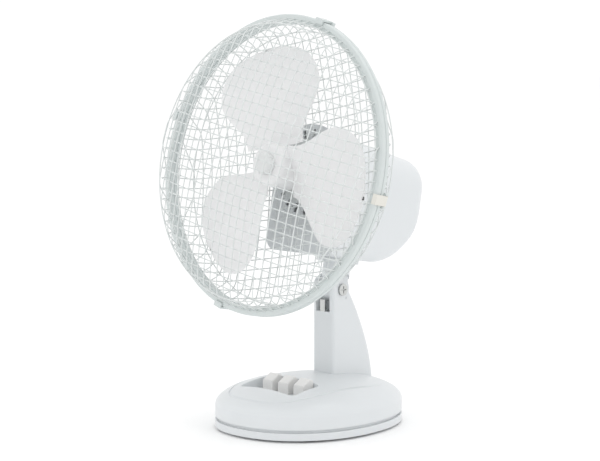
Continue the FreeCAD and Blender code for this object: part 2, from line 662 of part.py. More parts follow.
def through_bolt_spots():
    offset = THROUGH_BOLT_OFFSET
    return [(x, z) for x in (-offset, offset) for z in (-offset, offset)]


def through_bolt_holes():
    radius = THROUGH_BOLT_RADIUS + SEAT
    holes = [rod(radius, on_axis(-60, x, z), on_axis(60, x, z)) for x, z in through_bolt_spots()]
    return Part.makeCompound(holes)


def stator_windings():
    """Two rings of wound copper standing out of the stack's ends."""
    front = tube(WINDING_RADIUS, ROTOR_RADIUS + 2, on_axis(STATOR_FRONT_Y - 7), on_axis(STATOR_FRONT_Y))
    rear = tube(WINDING_RADIUS, ROTOR_RADIUS + 2, on_axis(STATOR_REAR_Y), on_axis(STATOR_REAR_Y + 7))
    return Part.makeCompound([ring.cut(through_bolt_holes()) for ring in (front, rear)])


def motor_bracket(y0, y1, bearing_y0, bearing_y1, foot):
    """End bracket: a cross-shaped plate with the bearing's cup and, at the rear, the pin's foot."""
    offset = STATOR_HALF_SIDE
    plate = rounded_plate(-offset, offset, y0, y1, AXIS_HEIGHT - offset, AXIS_HEIGHT + offset,
                          MOTOR_CORNER_RADIUS)
    cup = rod(BEARING_RADIUS + 2.5, on_axis(bearing_y0), on_axis(bearing_y1))
    body = plate.fuse(cup)
    if foot:
        body = body.fuse(box(-8, 8, -6, y1, 64, AXIS_HEIGHT - offset))
        body = body.fuse(box(-8, 8, y0, y1, 64, AXIS_HEIGHT - offset + 4))
        body = body.cut(rod(PIN_RADIUS, (0, 0, 50), (0, 0, 70)))
    body = body.cut(rod(BEARING_RADIUS, on_axis(bearing_y0 - 1), on_axis(bearing_y1 + 1)))
    return body.cut(through_bolt_holes())


def bearing(y0, y1):
    return tube(BEARING_RADIUS, SHAFT_RADIUS + RUNNING, on_axis(y0), on_axis(y1))


def through_bolts():
    made = []
    for x, z in through_bolt_spots():
        shank = rod(THROUGH_BOLT_RADIUS, on_axis(-44, x, z), on_axis(8, x, z))
        made.append(shank.fuse(rod(3.0, on_axis(-44 - 2.2, x, z), on_axis(-44, x, z))))
    return Part.makeCompound(made)


def motor_shaft():
    """Steel shaft from the blade nut to the gearbox, cut as a worm at its rear end."""
    plain = rod(SHAFT_RADIUS, on_axis(HUB_FRONT_Y - 8), on_axis(GEAR_AXIS_Y - 9))
    core = rod(WORM_PITCH_RADIUS - 1.1 * GEAR_MODULE, on_axis(GEAR_AXIS_Y - 9), on_axis(GEAR_AXIS_Y + 10))
    thread = worm_thread()
    return plain.fuse(core).fuse(thread)


def worm_thread():
    """Trapezoid ridge carried along a right-handed helix about the motor axis."""
    lead = math.pi * GEAR_MODULE
    length = 6 * lead
    root = WORM_PITCH_RADIUS - 1.1 * GEAR_MODULE - 0.2
    tip = WORM_PITCH_RADIUS + 0.75 * GEAR_MODULE
    helix = Part.makeHelix(lead, length, root)
    profile = Part.makePolygon([
        V(root, 0, -0.31 * lead), V(tip, 0, -0.13 * lead),
        V(tip, 0, 0.13 * lead), V(root, 0, 0.31 * lead), V(root, 0, -0.31 * lead)])
    ridge = Part.Wire(helix).makePipeShell([profile], True, True)
    ridge.rotate(V(0, 0, 0), X_AXIS, -90)
    ridge.translate(V(0, GEAR_AXIS_Y - length / 2, AXIS_HEIGHT))
    return ridge


def rotor_core():
    return tube(ROTOR_RADIUS, SHAFT_RADIUS, on_axis(STATOR_FRONT_Y), on_axis(STATOR_REAR_Y))


def drive_pin():
    """Cross pin in the shaft that the hub's slot sits on."""
    y = DRIVE_PIN_Y
    pin = rod(1.2, (-7, y, AXIS_HEIGHT), (7, y, AXIS_HEIGHT))
    return pin.cut(rod(SHAFT_RADIUS, on_axis(y - 3), on_axis(y + 3)))


# ---------------------------------------------------------------- housing
def housing_radius(y):
    """Radius of the round top, which also is the half width; it tapers towards the rear."""
    return 44.5 - 0.165 * (y - HOUSING_FRONT_Y) + 0.00033 * (y - HOUSING_FRONT_Y) ** 2


def housing_floor(y):
    """Height of the flat underside, which sweeps up towards the rear on a long arc."""
    bend_start, bend_radius = 15.0, 70.0
    run = min(max(0.0, y - bend_start), bend_radius * 0.97)
    return HOUSING_BOTTOM + bend_radius - math.sqrt(bend_radius ** 2 - run ** 2)


def end_rounding(y):
    """How far the skin is drawn in near the rear end by its rounded edge."""
    past = y - (HOUSING_REAR_Y - HOUSING_END_RADIUS)
    if past <= 0:
        return 0.0
    return HOUSING_END_RADIUS - math.sqrt(max(0.0, HOUSING_END_RADIUS ** 2 - past ** 2))


def housing_section(y, inset):
    """Round top, straight sides and a flat bottom with rounded corners."""
    drawn_in = inset + end_rounding(y)
    radius = housing_radius(y) - drawn_in
    floor = min(housing_floor(y) + drawn_in, AXIS_HEIGHT - 14)
    corner = min(12.0, (AXIS_HEIGHT - floor) / 2)
    z = AXIS_HEIGHT
    diagonal = corner * (1 - math.sqrt(0.5))
    edges = [
        arc((radius, y, z), (0, y, z + radius), (-radius, y, z)),
        line((-radius, y, z), (-radius, y, floor + corner)),
        arc((-radius, y, floor + corner), (-radius + diagonal, y, floor + diagonal),
            (-radius + corner, y, floor)),
        line((-radius + corner, y, floor), (radius - corner, y, floor)),
        arc((radius - corner, y, floor), (radius - diagonal, y, floor + diagonal),
            (radius, y, floor + corner)),
        line((radius, y, floor + corner), (radius, y, z)),
    ]
    return Part.Wire(edges)


def housing_solid(y_values, inset):
    return loft([housing_section(y, inset) for y in y_values])


def motor_housing():
    """Rear shell, open at the split, with the neck's round opening in its floor."""
    rear = HOUSING_REAR_Y
    stations = [HOUSING_SPLIT_Y, -5, 20, 45, rear - 18, rear - 12, rear - 6, rear - 2.5, rear - 0.6]
    outside = housing_solid(stations, 0)
    inner_stations = [HOUSING_SPLIT_Y - 0.5, -5, 20, 45, rear - 18, rear - 12, rear - 6, rear - 3.5]
    shell = outside.cut(housing_solid(inner_stations, HOUSING_WALL))
    opening = rod(COLLAR_RADIUS + 1.5, (0, 0, 0), (0, 0, BOSS_TOP))
    return shell.cut(opening)


def motor_front_cover():
    """Front shell with a ring of cooling slots and the threaded nose for the guard nut."""
    front = HOUSING_FRONT_Y
    split = HOUSING_SPLIT_Y - SEAT
    outside = housing_solid([front, front + 10, split], 0)
    inside = housing_solid([front + 2.5, front + 10, split + 1], HOUSING_WALL)
    shell = outside.cut(inside)
    seat = rod(PLATE_OUTER_RADIUS - 2, on_axis(front + 1), on_axis(guard_plate_rear_y()))
    nose = rod(NOSE_RADIUS, on_axis(front), on_axis(guard_plate_rear_y() - 9))
    shell = shell.fuse(seat).fuse(nose)
    shell = shell.cut(rod(SHAFT_RADIUS + 1.5, on_axis(-80), on_axis(front + 8)))
    shell = shell.cut(cooling_slots())
    return shell.cut(lower_nose_relief())


def lower_nose_relief():
    """Hollows the seat from behind so that it is a rim and not a block."""
    return tube(PLATE_OUTER_RADIUS - 4.5, NOSE_RADIUS - 1, on_axis(guard_plate_rear_y() + 2),
                on_axis(HOUSING_FRONT_Y + 3))


def cooling_slots():
    """Long radial slots round the nose, below the seat's rim."""
    made = []
    for i in range(20):
        slot = box(-1.6, 1.6, HOUSING_FRONT_Y - 1, HOUSING_FRONT_Y + 4, 28.5, 40.0)
        slot.rotate(V(0, 0, 0), Y_AXIS, 18 * i)
        slot.translate(V(0, 0, AXIS_HEIGHT))
        made.append(slot)
    return Part.makeCompound(made)


# ---------------------------------------------------------------- guards
def guard_plate_rear_y():
    """Station of the rear guard plate's back face, one wire behind the mesh's crown."""
    return RING_PLANE_Y + GUARD_DEPTH + 2 * WIRE_SIZE + SEAT


def crown_depth(radius):
    """Depth of the shallow spherical crown in front of the ring plane."""
    return GUARD_DEPTH - (CROWN_RADIUS - math.sqrt(CROWN_RADIUS ** 2 - radius ** 2))


def wire_outline(offset, grow):
    """Half-size edge list of one wire's side view: wall, corner arc, crown arc, corner arc, wall.

    The wire lies in a plane at this offset from the guard's axis. grow moves the line outwards.
    The result is in (depth, across) coordinates with the crown's centre on the axis.
    """
    rim = math.sqrt((RIM_RADIUS - RIM_WIDTH + 3.0) ** 2 - offset ** 2)
    corner = math.sqrt(GUARD_CORNER_RADIUS ** 2 - offset ** 2)
    start = V(RIM_THICKNESS + RIM_PARTING / 2 + 1.2, -rim, 0)
    bend = V(crown_depth(GUARD_CORNER_RADIUS), -corner, 0)
    centre = V(GUARD_DEPTH - CROWN_RADIUS, 0, 0)
    crown = math.sqrt(CROWN_RADIUS ** 2 - offset ** 2)
    along = (bend - start).normalize()
    inward = V(-along.y, along.x, 0)
    if inward.dot(centre - start) < 0:
        inward = inward * -1
    fillet = GUARD_CORNER_FILLET
    base_point = start + inward * fillet
    away = base_point - centre
    slope = away.dot(along)
    travel = -slope + math.sqrt(slope ** 2 - away.dot(away) + (crown - fillet) ** 2)
    hub = base_point + along * travel
    towards = (hub - centre).normalize()
    fillet_radius = fillet + grow
    first = start - inward * grow
    wall_end = hub - inward * fillet_radius
    crown_start = centre + towards * (crown + grow)
    halfway = hub + (towards - inward).normalize() * fillet_radius
    top = V(centre.x + crown + grow, 0, 0)
    return [first, wall_end, halfway, crown_start, top]


def mirrored(point):
    return V(point.x, -point.y, point.z)


def one_side(points):
    """Edges of one long side of the wire, from its left end to its right end."""
    first, wall_end, halfway, crown_start, top = points
    return [
        Part.LineSegment(first, wall_end).toShape(),
        Part.Arc(wall_end, halfway, crown_start).toShape(),
        Part.Arc(crown_start, top, mirrored(crown_start)).toShape(),
        Part.Arc(mirrored(crown_start), mirrored(halfway), mirrored(wall_end)).toShape(),
        Part.LineSegment(mirrored(wall_end), mirrored(first)).toShape(),
    ]


def guard_wire(offset, lift, upright):
    """One square-section guard wire at this offset; lift sets its layer, upright its direction."""
    outer = wire_outline(offset, lift + WIRE_SIZE / 2)
    inner = wire_outline(offset, lift - WIRE_SIZE / 2)
    edges = one_side(outer) + one_side(inner)
    edges.append(Part.LineSegment(outer[0], inner[0]).toShape())
    edges.append(Part.LineSegment(mirrored(outer[0]), mirrored(inner[0])).toShape())
    wire = Part.Face(closed_wire(edges)).extrude(V(0, 0, WIRE_SIZE))
    wire.translate(V(0, 0, offset - WIRE_SIZE / 2))
    if upright:
        wire.transformShape(FreeCAD.Matrix(0, 0, 1, 0, -1, 0, 0, 0, 0, -1, 0, 0, 0, 0, 0, 1))
    else:
        wire.transformShape(FreeCAD.Matrix(0, 1, 0, 0, -1, 0, 0, 0, 0, 0, 1, 0, 0, 0, 0, 1))
    return wire


def guard_mesh():
    """Two layers of parallel wires over a drum-shaped dome, facing -Y from the ring plane."""
    wires = []
    for i in range(MESH_WIRES):
        offset = (i - (MESH_WIRES - 1) / 2) * MESH_PITCH
        wires.append(guard_wire(offset, WIRE_SIZE / 2 + 0.02, True))
        wires.append(guard_wire(offset, -WIRE_SIZE / 2 - 0.02, False))
    for wire in wires:
        wire.rotate(V(0, 0, 0), Y_AXIS, MESH_TURN)
    return wires


def place_front(shape):
    moved = shape.copy()
    moved.translate(V(0, RING_PLANE_Y, AXIS_HEIGHT))
    return moved


def place_rear(shape):
    """The rear guard is the front one turned about: its dome faces +Y."""
    moved = shape.copy()
    moved.rotate(V(0, 0, 0), Z_AXIS, 180)
    moved.translate(V(0, RING_PLANE_Y, AXIS_HEIGHT))
    return moved


def front_guard_mesh():
    return Part.makeCompound([place_front(w) for w in guard_mesh()])


def rear_guard_mesh():
    """The wires stop at the mounting plate in the middle."""
    hole = rod(PLATE_OUTER_RADIUS - 1, on_axis(RING_PLANE_Y + 10), on_axis(RING_PLANE_Y + 60))
    solids = []
    for wire in guard_mesh():
        placed = place_rear(wire)
        if placed.distToShape(hole)[0] < 0.001:
            placed = placed.cut(hole)
        solids.extend(placed.Solids)
    return Part.makeCompound(solids)


def rear_guard_plate():
    """Pressed disc under the crown that holds the rear mesh on the motor's nose."""
    rear = guard_plate_rear_y()
    plate = tube(PLATE_OUTER_RADIUS + 3, NOSE_RADIUS + LOOSE / 2, on_axis(rear - 1.0), on_axis(rear))
    return plate


def guard_nut():
    """Ring nut with eight grip notches that clamps the plate."""
    front_face = guard_plate_rear_y() - 1.0
    nut = tube(NUT_OUTER_RADIUS, NOSE_RADIUS, on_axis(front_face - 7), on_axis(front_face))
    for i in range(8):
        notch = rod(3, (0, front_face - 8, NUT_OUTER_RADIUS + 1), (0, front_face - 1.5, NUT_OUTER_RADIUS + 1))
        notch.rotate(V(0, 0, 0), Y_AXIS, 45 * i)
        notch.translate(V(0, 0, AXIS_HEIGHT))
        nut = nut.cut(notch)
    return nut


def guard_ring(y0, y1):
    """Flat plastic rim with rounded outer edges."""
    ring = tube(RIM_RADIUS, RIM_RADIUS - RIM_WIDTH, on_axis(y0), on_axis(y1))
    outer_edges = [e for e in ring.Edges if len(e.Vertexes) == 1]
    return ring.makeFillet(1.2, outer_edges)


def front_guard_ring():
    y = RING_PLANE_Y - RIM_PARTING / 2
    return guard_ring(y - RIM_THICKNESS, y)


def rear_guard_ring():
    y = RING_PLANE_Y + RIM_PARTING / 2
    return guard_ring(y, y + RIM_THICKNESS)


def at_rim_angle(shape, angle):
    """Turns a part drawn at the rim's right-hand side to its angle, seen from the front."""
    moved = shape.copy()
    moved.rotate(V(0, 0, 0), Y_AXIS, -angle)
    moved.translate(V(0, 0, AXIS_HEIGHT))
    return moved


def clip_pin_y():
    return RING_PLANE_Y + RIM_THICKNESS + RIM_PARTING / 2 + CLIP_WALL / 2 + 1.0


def guard_clip(angle):
    """Hinged clip: a strap outside the rim with a hook over the front ring and an eye behind."""
    inner = RIM_RADIUS + LOOSE
    front = RING_PLANE_Y - RIM_THICKNESS - RIM_PARTING / 2 - LOOSE
    eye_y = clip_pin_y()
    half = CLIP_WIDTH / 2
    strap = box(inner, inner + CLIP_WALL, front - CLIP_WALL, eye_y, -half, half)
    hook = box(inner - 3.2, inner + CLIP_WALL, front - CLIP_WALL, front, -half, half)
    eye = rod(1.9, (inner, eye_y, -half), (inner, eye_y, half))
    bore = rod(0.9 + RUNNING, (inner, eye_y, -half - 1), (inner, eye_y, half + 1))
    clip = strap.fuse(hook).fuse(eye).cut(bore)
    return at_rim_angle(clip, angle)


def clip_hinges():
    """Two ears behind the rear ring for each clip, joined by the clip's pin."""
    inner = RIM_RADIUS + LOOSE
    back = RING_PLANE_Y + RIM_THICKNESS + RIM_PARTING / 2
    eye_y = clip_pin_y()
    half = CLIP_WIDTH / 2 + LOOSE
    made = []
    for angle in CLIP_ANGLES:
        body = rod(0.9, (inner, eye_y, -half - 1), (inner, eye_y, half + 1))
        for side in (-1, 1):
            ear = box(RIM_RADIUS - 5, inner + 1.6, back, eye_y + 1.6, 0, 2.0)
            ear.translate(V(0, 0, half if side > 0 else -half - 2.0))
            body = body.fuse(ear)
        made.append(at_rim_angle(body, angle))
    return Part.makeCompound(made)


# ---------------------------------------------------------------- blades
def blade_half_width(radius):
    """Half chord at this distance: a wide petal that rounds off at the tip."""
    if radius >= BLADE_WIDEST_RADIUS:
        share = (radius - BLADE_WIDEST_RADIUS) / (BLADE_TIP_RADIUS - BLADE_WIDEST_RADIUS)
        return BLADE_HALF_WIDTH * (1 - share ** 2.4) ** (1 / 2.4)
    share = max(0.0, (radius - HUB_RADIUS) / (BLADE_WIDEST_RADIUS - HUB_RADIUS))
    swell = 0.5 - 0.5 * math.cos(math.pi * share)
    return BLADE_ROOT_HALF_WIDTH + (BLADE_HALF_WIDTH - BLADE_ROOT_HALF_WIDTH) * swell


def blade_section(radius):
    """Thin curved strip across the blade: the helicoid's rise plus a shallow camber."""
    half = blade_half_width(radius)
    distance = max(radius, HUB_RADIUS * 1.2)
    fronts = []
    backs = []
    for i in range(7):
        across = half * (i / 3 - 1)
        rise = BLADE_PITCH * math.atan2(across, distance)
        camber = 2.5 * (1 - (across / half) ** 2)
        fronts.append(V(across, rise + camber - BLADE_THICKNESS / 2, radius))
        backs.append(V(across, rise + camber + BLADE_THICKNESS / 2, radius))
    front, back = Part.BSplineCurve(), Part.BSplineCurve()
    front.interpolate(fronts)
    back.interpolate(backs[::-1])
    return Part.Wire([
        front.toShape(),
        Part.LineSegment(fronts[-1], backs[-1]).toShape(),
        back.toShape(),
        Part.LineSegment(backs[0], fronts[0]).toShape(),
    ])


def fan_blade():
    """Hub cup with three petals, moulded in one piece and slotted for the drive pin."""
    middle = BLADE_CENTRE_Y
    span = BLADE_TIP_RADIUS - 4.0
    radii = [4 + span * (1 - (1 - i / 10) ** 1.6) for i in range(11)]
    radii[-1] = BLADE_TIP_RADIUS - 1.0
    petal = loft([blade_section(r) for r in radii])
    petal.translate(V(0, middle, 0))
    petal = petal.cut(rod(HUB_RADIUS - 1.0, (0, middle - 40, 0), (0, middle + 40, 0)))
    hub = rod(HUB_RADIUS, (0, HUB_FRONT_Y, 0), (0, HUB_REAR_Y, 0))
    edges = [e for e in hub.Edges if len(e.Vertexes) == 1 and e.BoundBox.YMax < HUB_FRONT_Y + 1]
    hub = hub.makeFillet(4, edges)
    hub = hub.cut(tube(HUB_RADIUS - 2.2, 8, (0, HUB_FRONT_Y + 3, 0), (0, HUB_REAR_Y + 1, 0)))
    for i in range(BLADE_COUNT):
        turned = petal.copy()
        turned.rotate(V(0, 0, 0), Y_AXIS, 90 - (BLADE_START_ANGLE + 360 / BLADE_COUNT * i))
        hub = hub.fuse(turned)
    hub = hub.cut(rod(SHAFT_RADIUS, (0, HUB_FRONT_Y - 1, 0), (0, HUB_REAR_Y + 1, 0)))
    slot = box(-8.5, 8.5, DRIVE_PIN_Y - 1.2, HUB_REAR_Y + 1, -1.2, 1.2)
    hub = hub.cut(slot)
    hub.translate(V(0, 0, AXIS_HEIGHT))
    return hub


def blade_nut():
    """Knob with a left-hand thread that holds the hub on the shaft."""
    front = HUB_FRONT_Y - KNOB_LENGTH
    knob = rod(KNOB_RADIUS, on_axis(front), on_axis(HUB_FRONT_Y))
    edges = [e for e in knob.Edges if len(e.Vertexes) == 1 and e.BoundBox.YMax < front + 1]
    knob = knob.makeFillet(4, edges)
    return knob.cut(rod(SHAFT_RADIUS, on_axis(HUB_FRONT_Y - 8), on_axis(HUB_FRONT_Y + 1)))


def main():
    os.makedirs("parts", exist_ok=True)
    save("base_tray", base_tray())
    save("base_cover", base_cover())
    save("inlet_bush", inlet_bush())
    save("rubber_feet", rubber_feet())
    save("ballast_plate", ballast_plate())
    save("switch_body", switch_body())
    save("column_screws", screws(COLUMN_SCREW_SPOTS, COLUMN_SCREW_RADIUS, 3.8, 8.0, COLUMN_FOOT_Z + 3))
    save("tray_screws", screws(TRAY_SCREW_SPOTS, TRAY_SCREW_RADIUS, 2.8, 5.0, COVER_BOTTOM + 8))
    for i, name in enumerate(KEY_NAMES):
        save("key_" + name, key(i))
        save("key_spring_" + name, key_spring(i))
    save("column", column())
    save("tilt_stop", tilt_stop())
    save("pivot_bolt", pivot_bolt())
    save("pivot_nut", pivot_nut())
    save("pivot_washers", pivot_washers())
    save_head("neck_bracket", neck_bracket())
    save_head("pin_bush", pin_bush())
    save_head("link_pin", link_pin())
    save_head("crank_link", crank_link())
    save_head("crank_gear", crank_gear())
    save_head("crank_arm", crank_arm())
    save_head("worm_wheel", worm_wheel())
    save_head("wheel_pin", wheel_pin())
    save_head("gearbox_case", gearbox_case())
    save_head("gearbox_lid", gearbox_lid())
    save_head("oscillation_pin", oscillation_pin())
    save_head("stator_core", stator_core())
    save_head("stator_windings", stator_windings())
    save_head("motor_front_bracket", motor_bracket(-44, -41.5, *FRONT_BEARING, False))
    save_head("motor_rear_bracket", motor_bracket(1, 4, *REAR_BEARING, True))
    save_head("front_bearing", bearing(*FRONT_BEARING))
    save_head("rear_bearing", bearing(*REAR_BEARING))
    save_head("through_bolts", through_bolts())
    save_head("motor_shaft", motor_shaft())
    save_head("rotor_core", rotor_core())
    save_head("drive_pin", drive_pin())
    save_head("motor_housing", motor_housing())
    save_head("motor_front_cover", motor_front_cover())
    save_head("front_guard_mesh", front_guard_mesh())
    save_head("rear_guard_mesh", rear_guard_mesh())
    save_head("rear_guard_plate", rear_guard_plate())
    save_head("guard_nut", guard_nut())
    save_head("front_guard_ring", front_guard_ring())
    save_head("rear_guard_ring", rear_guard_ring())
    save_head("clip_hinges", clip_hinges())
    for number, angle in enumerate(CLIP_ANGLES, 1):
        save_head("guard_clip_%d" % number, guard_clip(angle))
    save_head("fan_blade", fan_blade())
    save_head("blade_nut", blade_nut())


if __name__ == "__main__":
    main()
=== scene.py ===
import json

import bmesh
import bpy
import numpy as np
from bpy.props import FloatProperty, FloatVectorProperty, IntProperty, PointerProperty
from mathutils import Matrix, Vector


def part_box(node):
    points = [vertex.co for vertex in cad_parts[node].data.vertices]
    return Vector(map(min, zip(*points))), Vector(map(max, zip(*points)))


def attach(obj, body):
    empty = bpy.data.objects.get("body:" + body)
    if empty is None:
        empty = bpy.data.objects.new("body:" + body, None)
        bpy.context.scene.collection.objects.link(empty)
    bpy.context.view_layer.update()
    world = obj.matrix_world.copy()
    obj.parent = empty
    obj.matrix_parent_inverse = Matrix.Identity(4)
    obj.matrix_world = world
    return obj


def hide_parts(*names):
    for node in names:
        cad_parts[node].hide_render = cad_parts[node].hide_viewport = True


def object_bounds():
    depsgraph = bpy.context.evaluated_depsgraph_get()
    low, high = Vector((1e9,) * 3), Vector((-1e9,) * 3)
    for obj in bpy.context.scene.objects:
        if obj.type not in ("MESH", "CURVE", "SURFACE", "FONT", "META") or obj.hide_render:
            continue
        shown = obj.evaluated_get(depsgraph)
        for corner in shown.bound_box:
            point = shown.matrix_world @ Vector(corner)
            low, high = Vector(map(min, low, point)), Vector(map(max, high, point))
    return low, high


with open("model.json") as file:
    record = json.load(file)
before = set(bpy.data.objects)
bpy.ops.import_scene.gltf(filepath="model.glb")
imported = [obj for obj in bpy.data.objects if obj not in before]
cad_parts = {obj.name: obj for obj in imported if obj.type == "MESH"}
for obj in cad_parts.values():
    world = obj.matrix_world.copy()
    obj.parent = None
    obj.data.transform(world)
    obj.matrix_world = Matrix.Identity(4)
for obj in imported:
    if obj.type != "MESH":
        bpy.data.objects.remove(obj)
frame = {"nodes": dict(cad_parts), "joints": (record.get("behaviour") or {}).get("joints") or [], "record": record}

bl_info = {
    "name": "Desk Fan",
    "version": (1, 0, 0),
    "blender": (4, 5, 0),
    "location": "View3D > Sidebar > Desk Fan",
    "description": "Builds the skins, guards, blades and finishes of a tilting, oscillating desk fan",
    "category": "Object",
}

CAD_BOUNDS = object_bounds()
NODES = frame["nodes"]
JOINTS = {joint["name"]: joint for joint in frame["joints"]}

# ---------------------------------------------------------------- the head's own axes
PIVOT = np.array(JOINTS["tilt"]["pos_m"])
REARWARD = np.array(JOINTS["fan_spin"]["axis"])
RIGHT = np.array((1.0, 0.0, 0.0))
UPWARD = np.cross(RIGHT, REARWARD)
HEAD_AXES = np.stack((RIGHT, REARWARD, UPWARD))
AXIS_HEIGHT = float((np.array(JOINTS["fan_spin"]["pos_m"]) - PIVOT) @ UPWARD)
AXLE = PIVOT + UPWARD * AXIS_HEIGHT


def head_extent(node):
    """Lowest and highest corner of a node along the head's axes, measured from the motor axis."""
    count = len(NODES[node].data.vertices)
    flat = np.empty(count * 3, np.float32)
    NODES[node].data.vertices.foreach_get("co", flat)
    local = (flat.reshape(-1, 3).astype(float) - AXLE) @ HEAD_AXES.T
    return local.min(0), local.max(0)


def on_head(points):
    """Head coordinates (right, rearward, upward from the motor axis) turned into the row frame."""
    return AXLE + points @ HEAD_AXES


# ---------------------------------------------------------------- measures taken from the frame
RING_LOW, RING_HIGH = head_extent("front_guard_ring")
REAR_RING_LOW, REAR_RING_HIGH = head_extent("rear_guard_ring")
MESH_LOW = head_extent("front_guard_mesh")[0]
HUB_LOW, HUB_HIGH = head_extent("fan_blade")
KNOB_LOW, KNOB_HIGH = head_extent("blade_nut")
SHELL_LOW, SHELL_HIGH = head_extent("motor_housing")
RING_PLANE = (RING_HIGH[1] + REAR_RING_LOW[1]) / 2
RIM_RADIUS = RING_HIGH[0]
COVER_LOW, COVER_HIGH = (np.array(c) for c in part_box("base_cover"))
KEY_HIGH = np.array(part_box("key_low")[1])
INLET_LOW, INLET_HIGH = (np.array(c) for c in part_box("inlet_bush"))

# ---------------------------------------------------------------- fixed proportions, lengths in metres
RIM_WIDTH = 0.0085
CROWN_RADIUS = 0.407
CORNER_RADIUS = 0.126
CORNER_FILLET = 0.016
WALL_RADIUS = 0.132
WALL_DEPTH = 0.0056
WALL_SINK = 0.0030
LAYER_LIFT = 0.00062
PLATE_CUT = 0.026
CROWN_GAP = 0.0006
HOOP_STEPS = {"corner": 7, "rim": 1}
HOOP_SEAT = 0.95
HOOP_DIVISIONS = 240
FULL_TURN = 2 * np.pi

BASE_HALF_X = 0.077
BASE_HALF_Y = 0.093
BASE_POWER = 2.15
BASE_EGG = 0.05
DOME_RISE = 0.025
DOME_SHIFT = -0.005
SHOULDER = COVER_HIGH[2] - DOME_RISE
WELL_HALF_X = 0.035
WELL_LENGTH = 0.037
WELL_BACK = KEY_HIGH[1] - 0.0002
WELL_FLOOR = 0.033
LIP = 0.0010
WELL_POWER = 9.0
WELL_FLOOR_INSET = 0.0040
COVER_WALL = 0.0022
GROOVE_HALF_X, GROOVE_HALF_Y, GROOVE_MIDDLE, GROOVE_POWER = 0.0515, 0.0730, -0.0090, 2.7
GROOVE_FLARE = 0.16

SHELL_TAPER = (0.0445, 0.165, 0.33)
SHELL_FRONT = -0.053
SHELL_BOTTOM = 0.029 - AXIS_HEIGHT
SHELL_BEND = 0.070
SHELL_BEND_START = 0.015
SHELL_END_RADIUS = 0.018
SHELL_CORNER = 0.012
COLLAR_OPENING = 0.0215
SHELL_WALL = 0.0022
SHELL_UNDERSIDE = -0.014
SHELL_END_INSET = 0.0178

BLADE_COUNT = 3
BLADE_START = np.radians(108.0)
BLADE_CENTRE = -0.095
BLADE_TIP = 0.111
BLADE_WIDEST = 0.073
BLADE_HALF = 0.053
BLADE_ROOT = 0.023
BLADE_CAMBER = 0.0025
HUB_RADIUS = 0.020
HUB_BORE = 0.0042
HUB_DIVISIONS = 120
TIP_POWER = 2.4
EDGE_POWER = 0.35
KNOB_FLUTES = 10
FLUTE_DEPTH = 0.07

FLOOR_RADIUS = 14.0
FLOOR_GAP = 0.0002


# ---------------------------------------------------------------- mesh helpers
def grid_faces(rows, columns, wrap_rows=False, wrap_columns=False):
    """Quads between neighbours on a rows by columns grid, joined end to end where it wraps."""
    row = np.arange(rows if wrap_rows else rows - 1)
    column = np.arange(columns if wrap_columns else columns - 1)
    i, j = np.meshgrid(row, column, indexing="ij")
    k, m = (i + 1) % rows, (j + 1) % columns
    corners = (i * columns + j, i * columns + m, k * columns + m, k * columns + j)
    return np.stack(corners, -1).reshape(-1, 4)


def signed_volume(points, faces):
    """Six times the volume under the quads, positive when they face outwards."""
    a, b, c, d = (points[faces[:, n]] for n in range(4))
    first = np.einsum("ij,ij->i", a, np.cross(b, c)).sum()
    return first + np.einsum("ij,ij->i", a, np.cross(c, d)).sum()


def add_piece(name, points, quads, body, slot_name, replaced=(), caps=(), sharp=38.0, merge=0.0):
    """A smooth mesh piece from grid points and quads, with optional end caps, riding on a body."""
    points = np.asarray(points, float).reshape(-1, 3)
    centred = points - points.mean(0)
    faces = [quads]
    if signed_volume(centred, quads) < 0:
        faces = [quads[:, ::-1]]
        caps = [cap[..., ::-1] for cap in caps]
    polygons = faces[0].tolist()
    for cap in caps:
        polygons.extend(np.atleast_2d(cap).tolist())
    mesh = bpy.data.meshes.new(name)
    mesh.from_pydata(points.tolist(), [], polygons)
    if merge:
        work = bmesh.new()
        work.from_mesh(mesh)
        bmesh.ops.remove_doubles(work, verts=work.verts, dist=merge)
        work.to_mesh(mesh)
        work.free()
    mesh.polygons.foreach_set("use_smooth", np.ones(len(mesh.polygons), bool))
    mesh.update()
    mesh.set_sharp_from_angle(angle=np.radians(sharp))
    piece = bpy.data.objects.new(name, mesh)
    bpy.context.scene.collection.objects.link(piece)
    mesh.materials.append(finish(slot_name))
    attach(piece, body)
    for node in replaced:
        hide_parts(node)
    return piece


def revolve(profile, steps):
    """A (radius, station) profile swept about the motor axis.

    At every turn, right is the radius times the cosine and up is the radius times the sine.
    """
    turn = np.linspace(0, FULL_TURN, steps, endpoint=False)
    radius, station = profile[:, 0][None, :], profile[:, 1][None, :]
    across = radius * np.cos(turn)[:, None]
    up = radius * np.sin(turn)[:, None]
    return np.stack((across, np.broadcast_to(station, across.shape), up), -1)


def arc_points(centre, radius, start, end, count):
    """Points on a circle's arc, at even angles from start to end in degrees."""
    angle = np.radians(np.linspace(start, end, count))
    return np.stack((centre[0] + radius * np.cos(angle), centre[1] + radius * np.sin(angle)), -1)


# ---------------------------------------------------------------- finishes
def new_node(tree, kind, **values):
    node = tree.nodes.new(kind)
    for socket, value in values.items():
        node.inputs[socket.replace("_", " ")].default_value = value
    return node


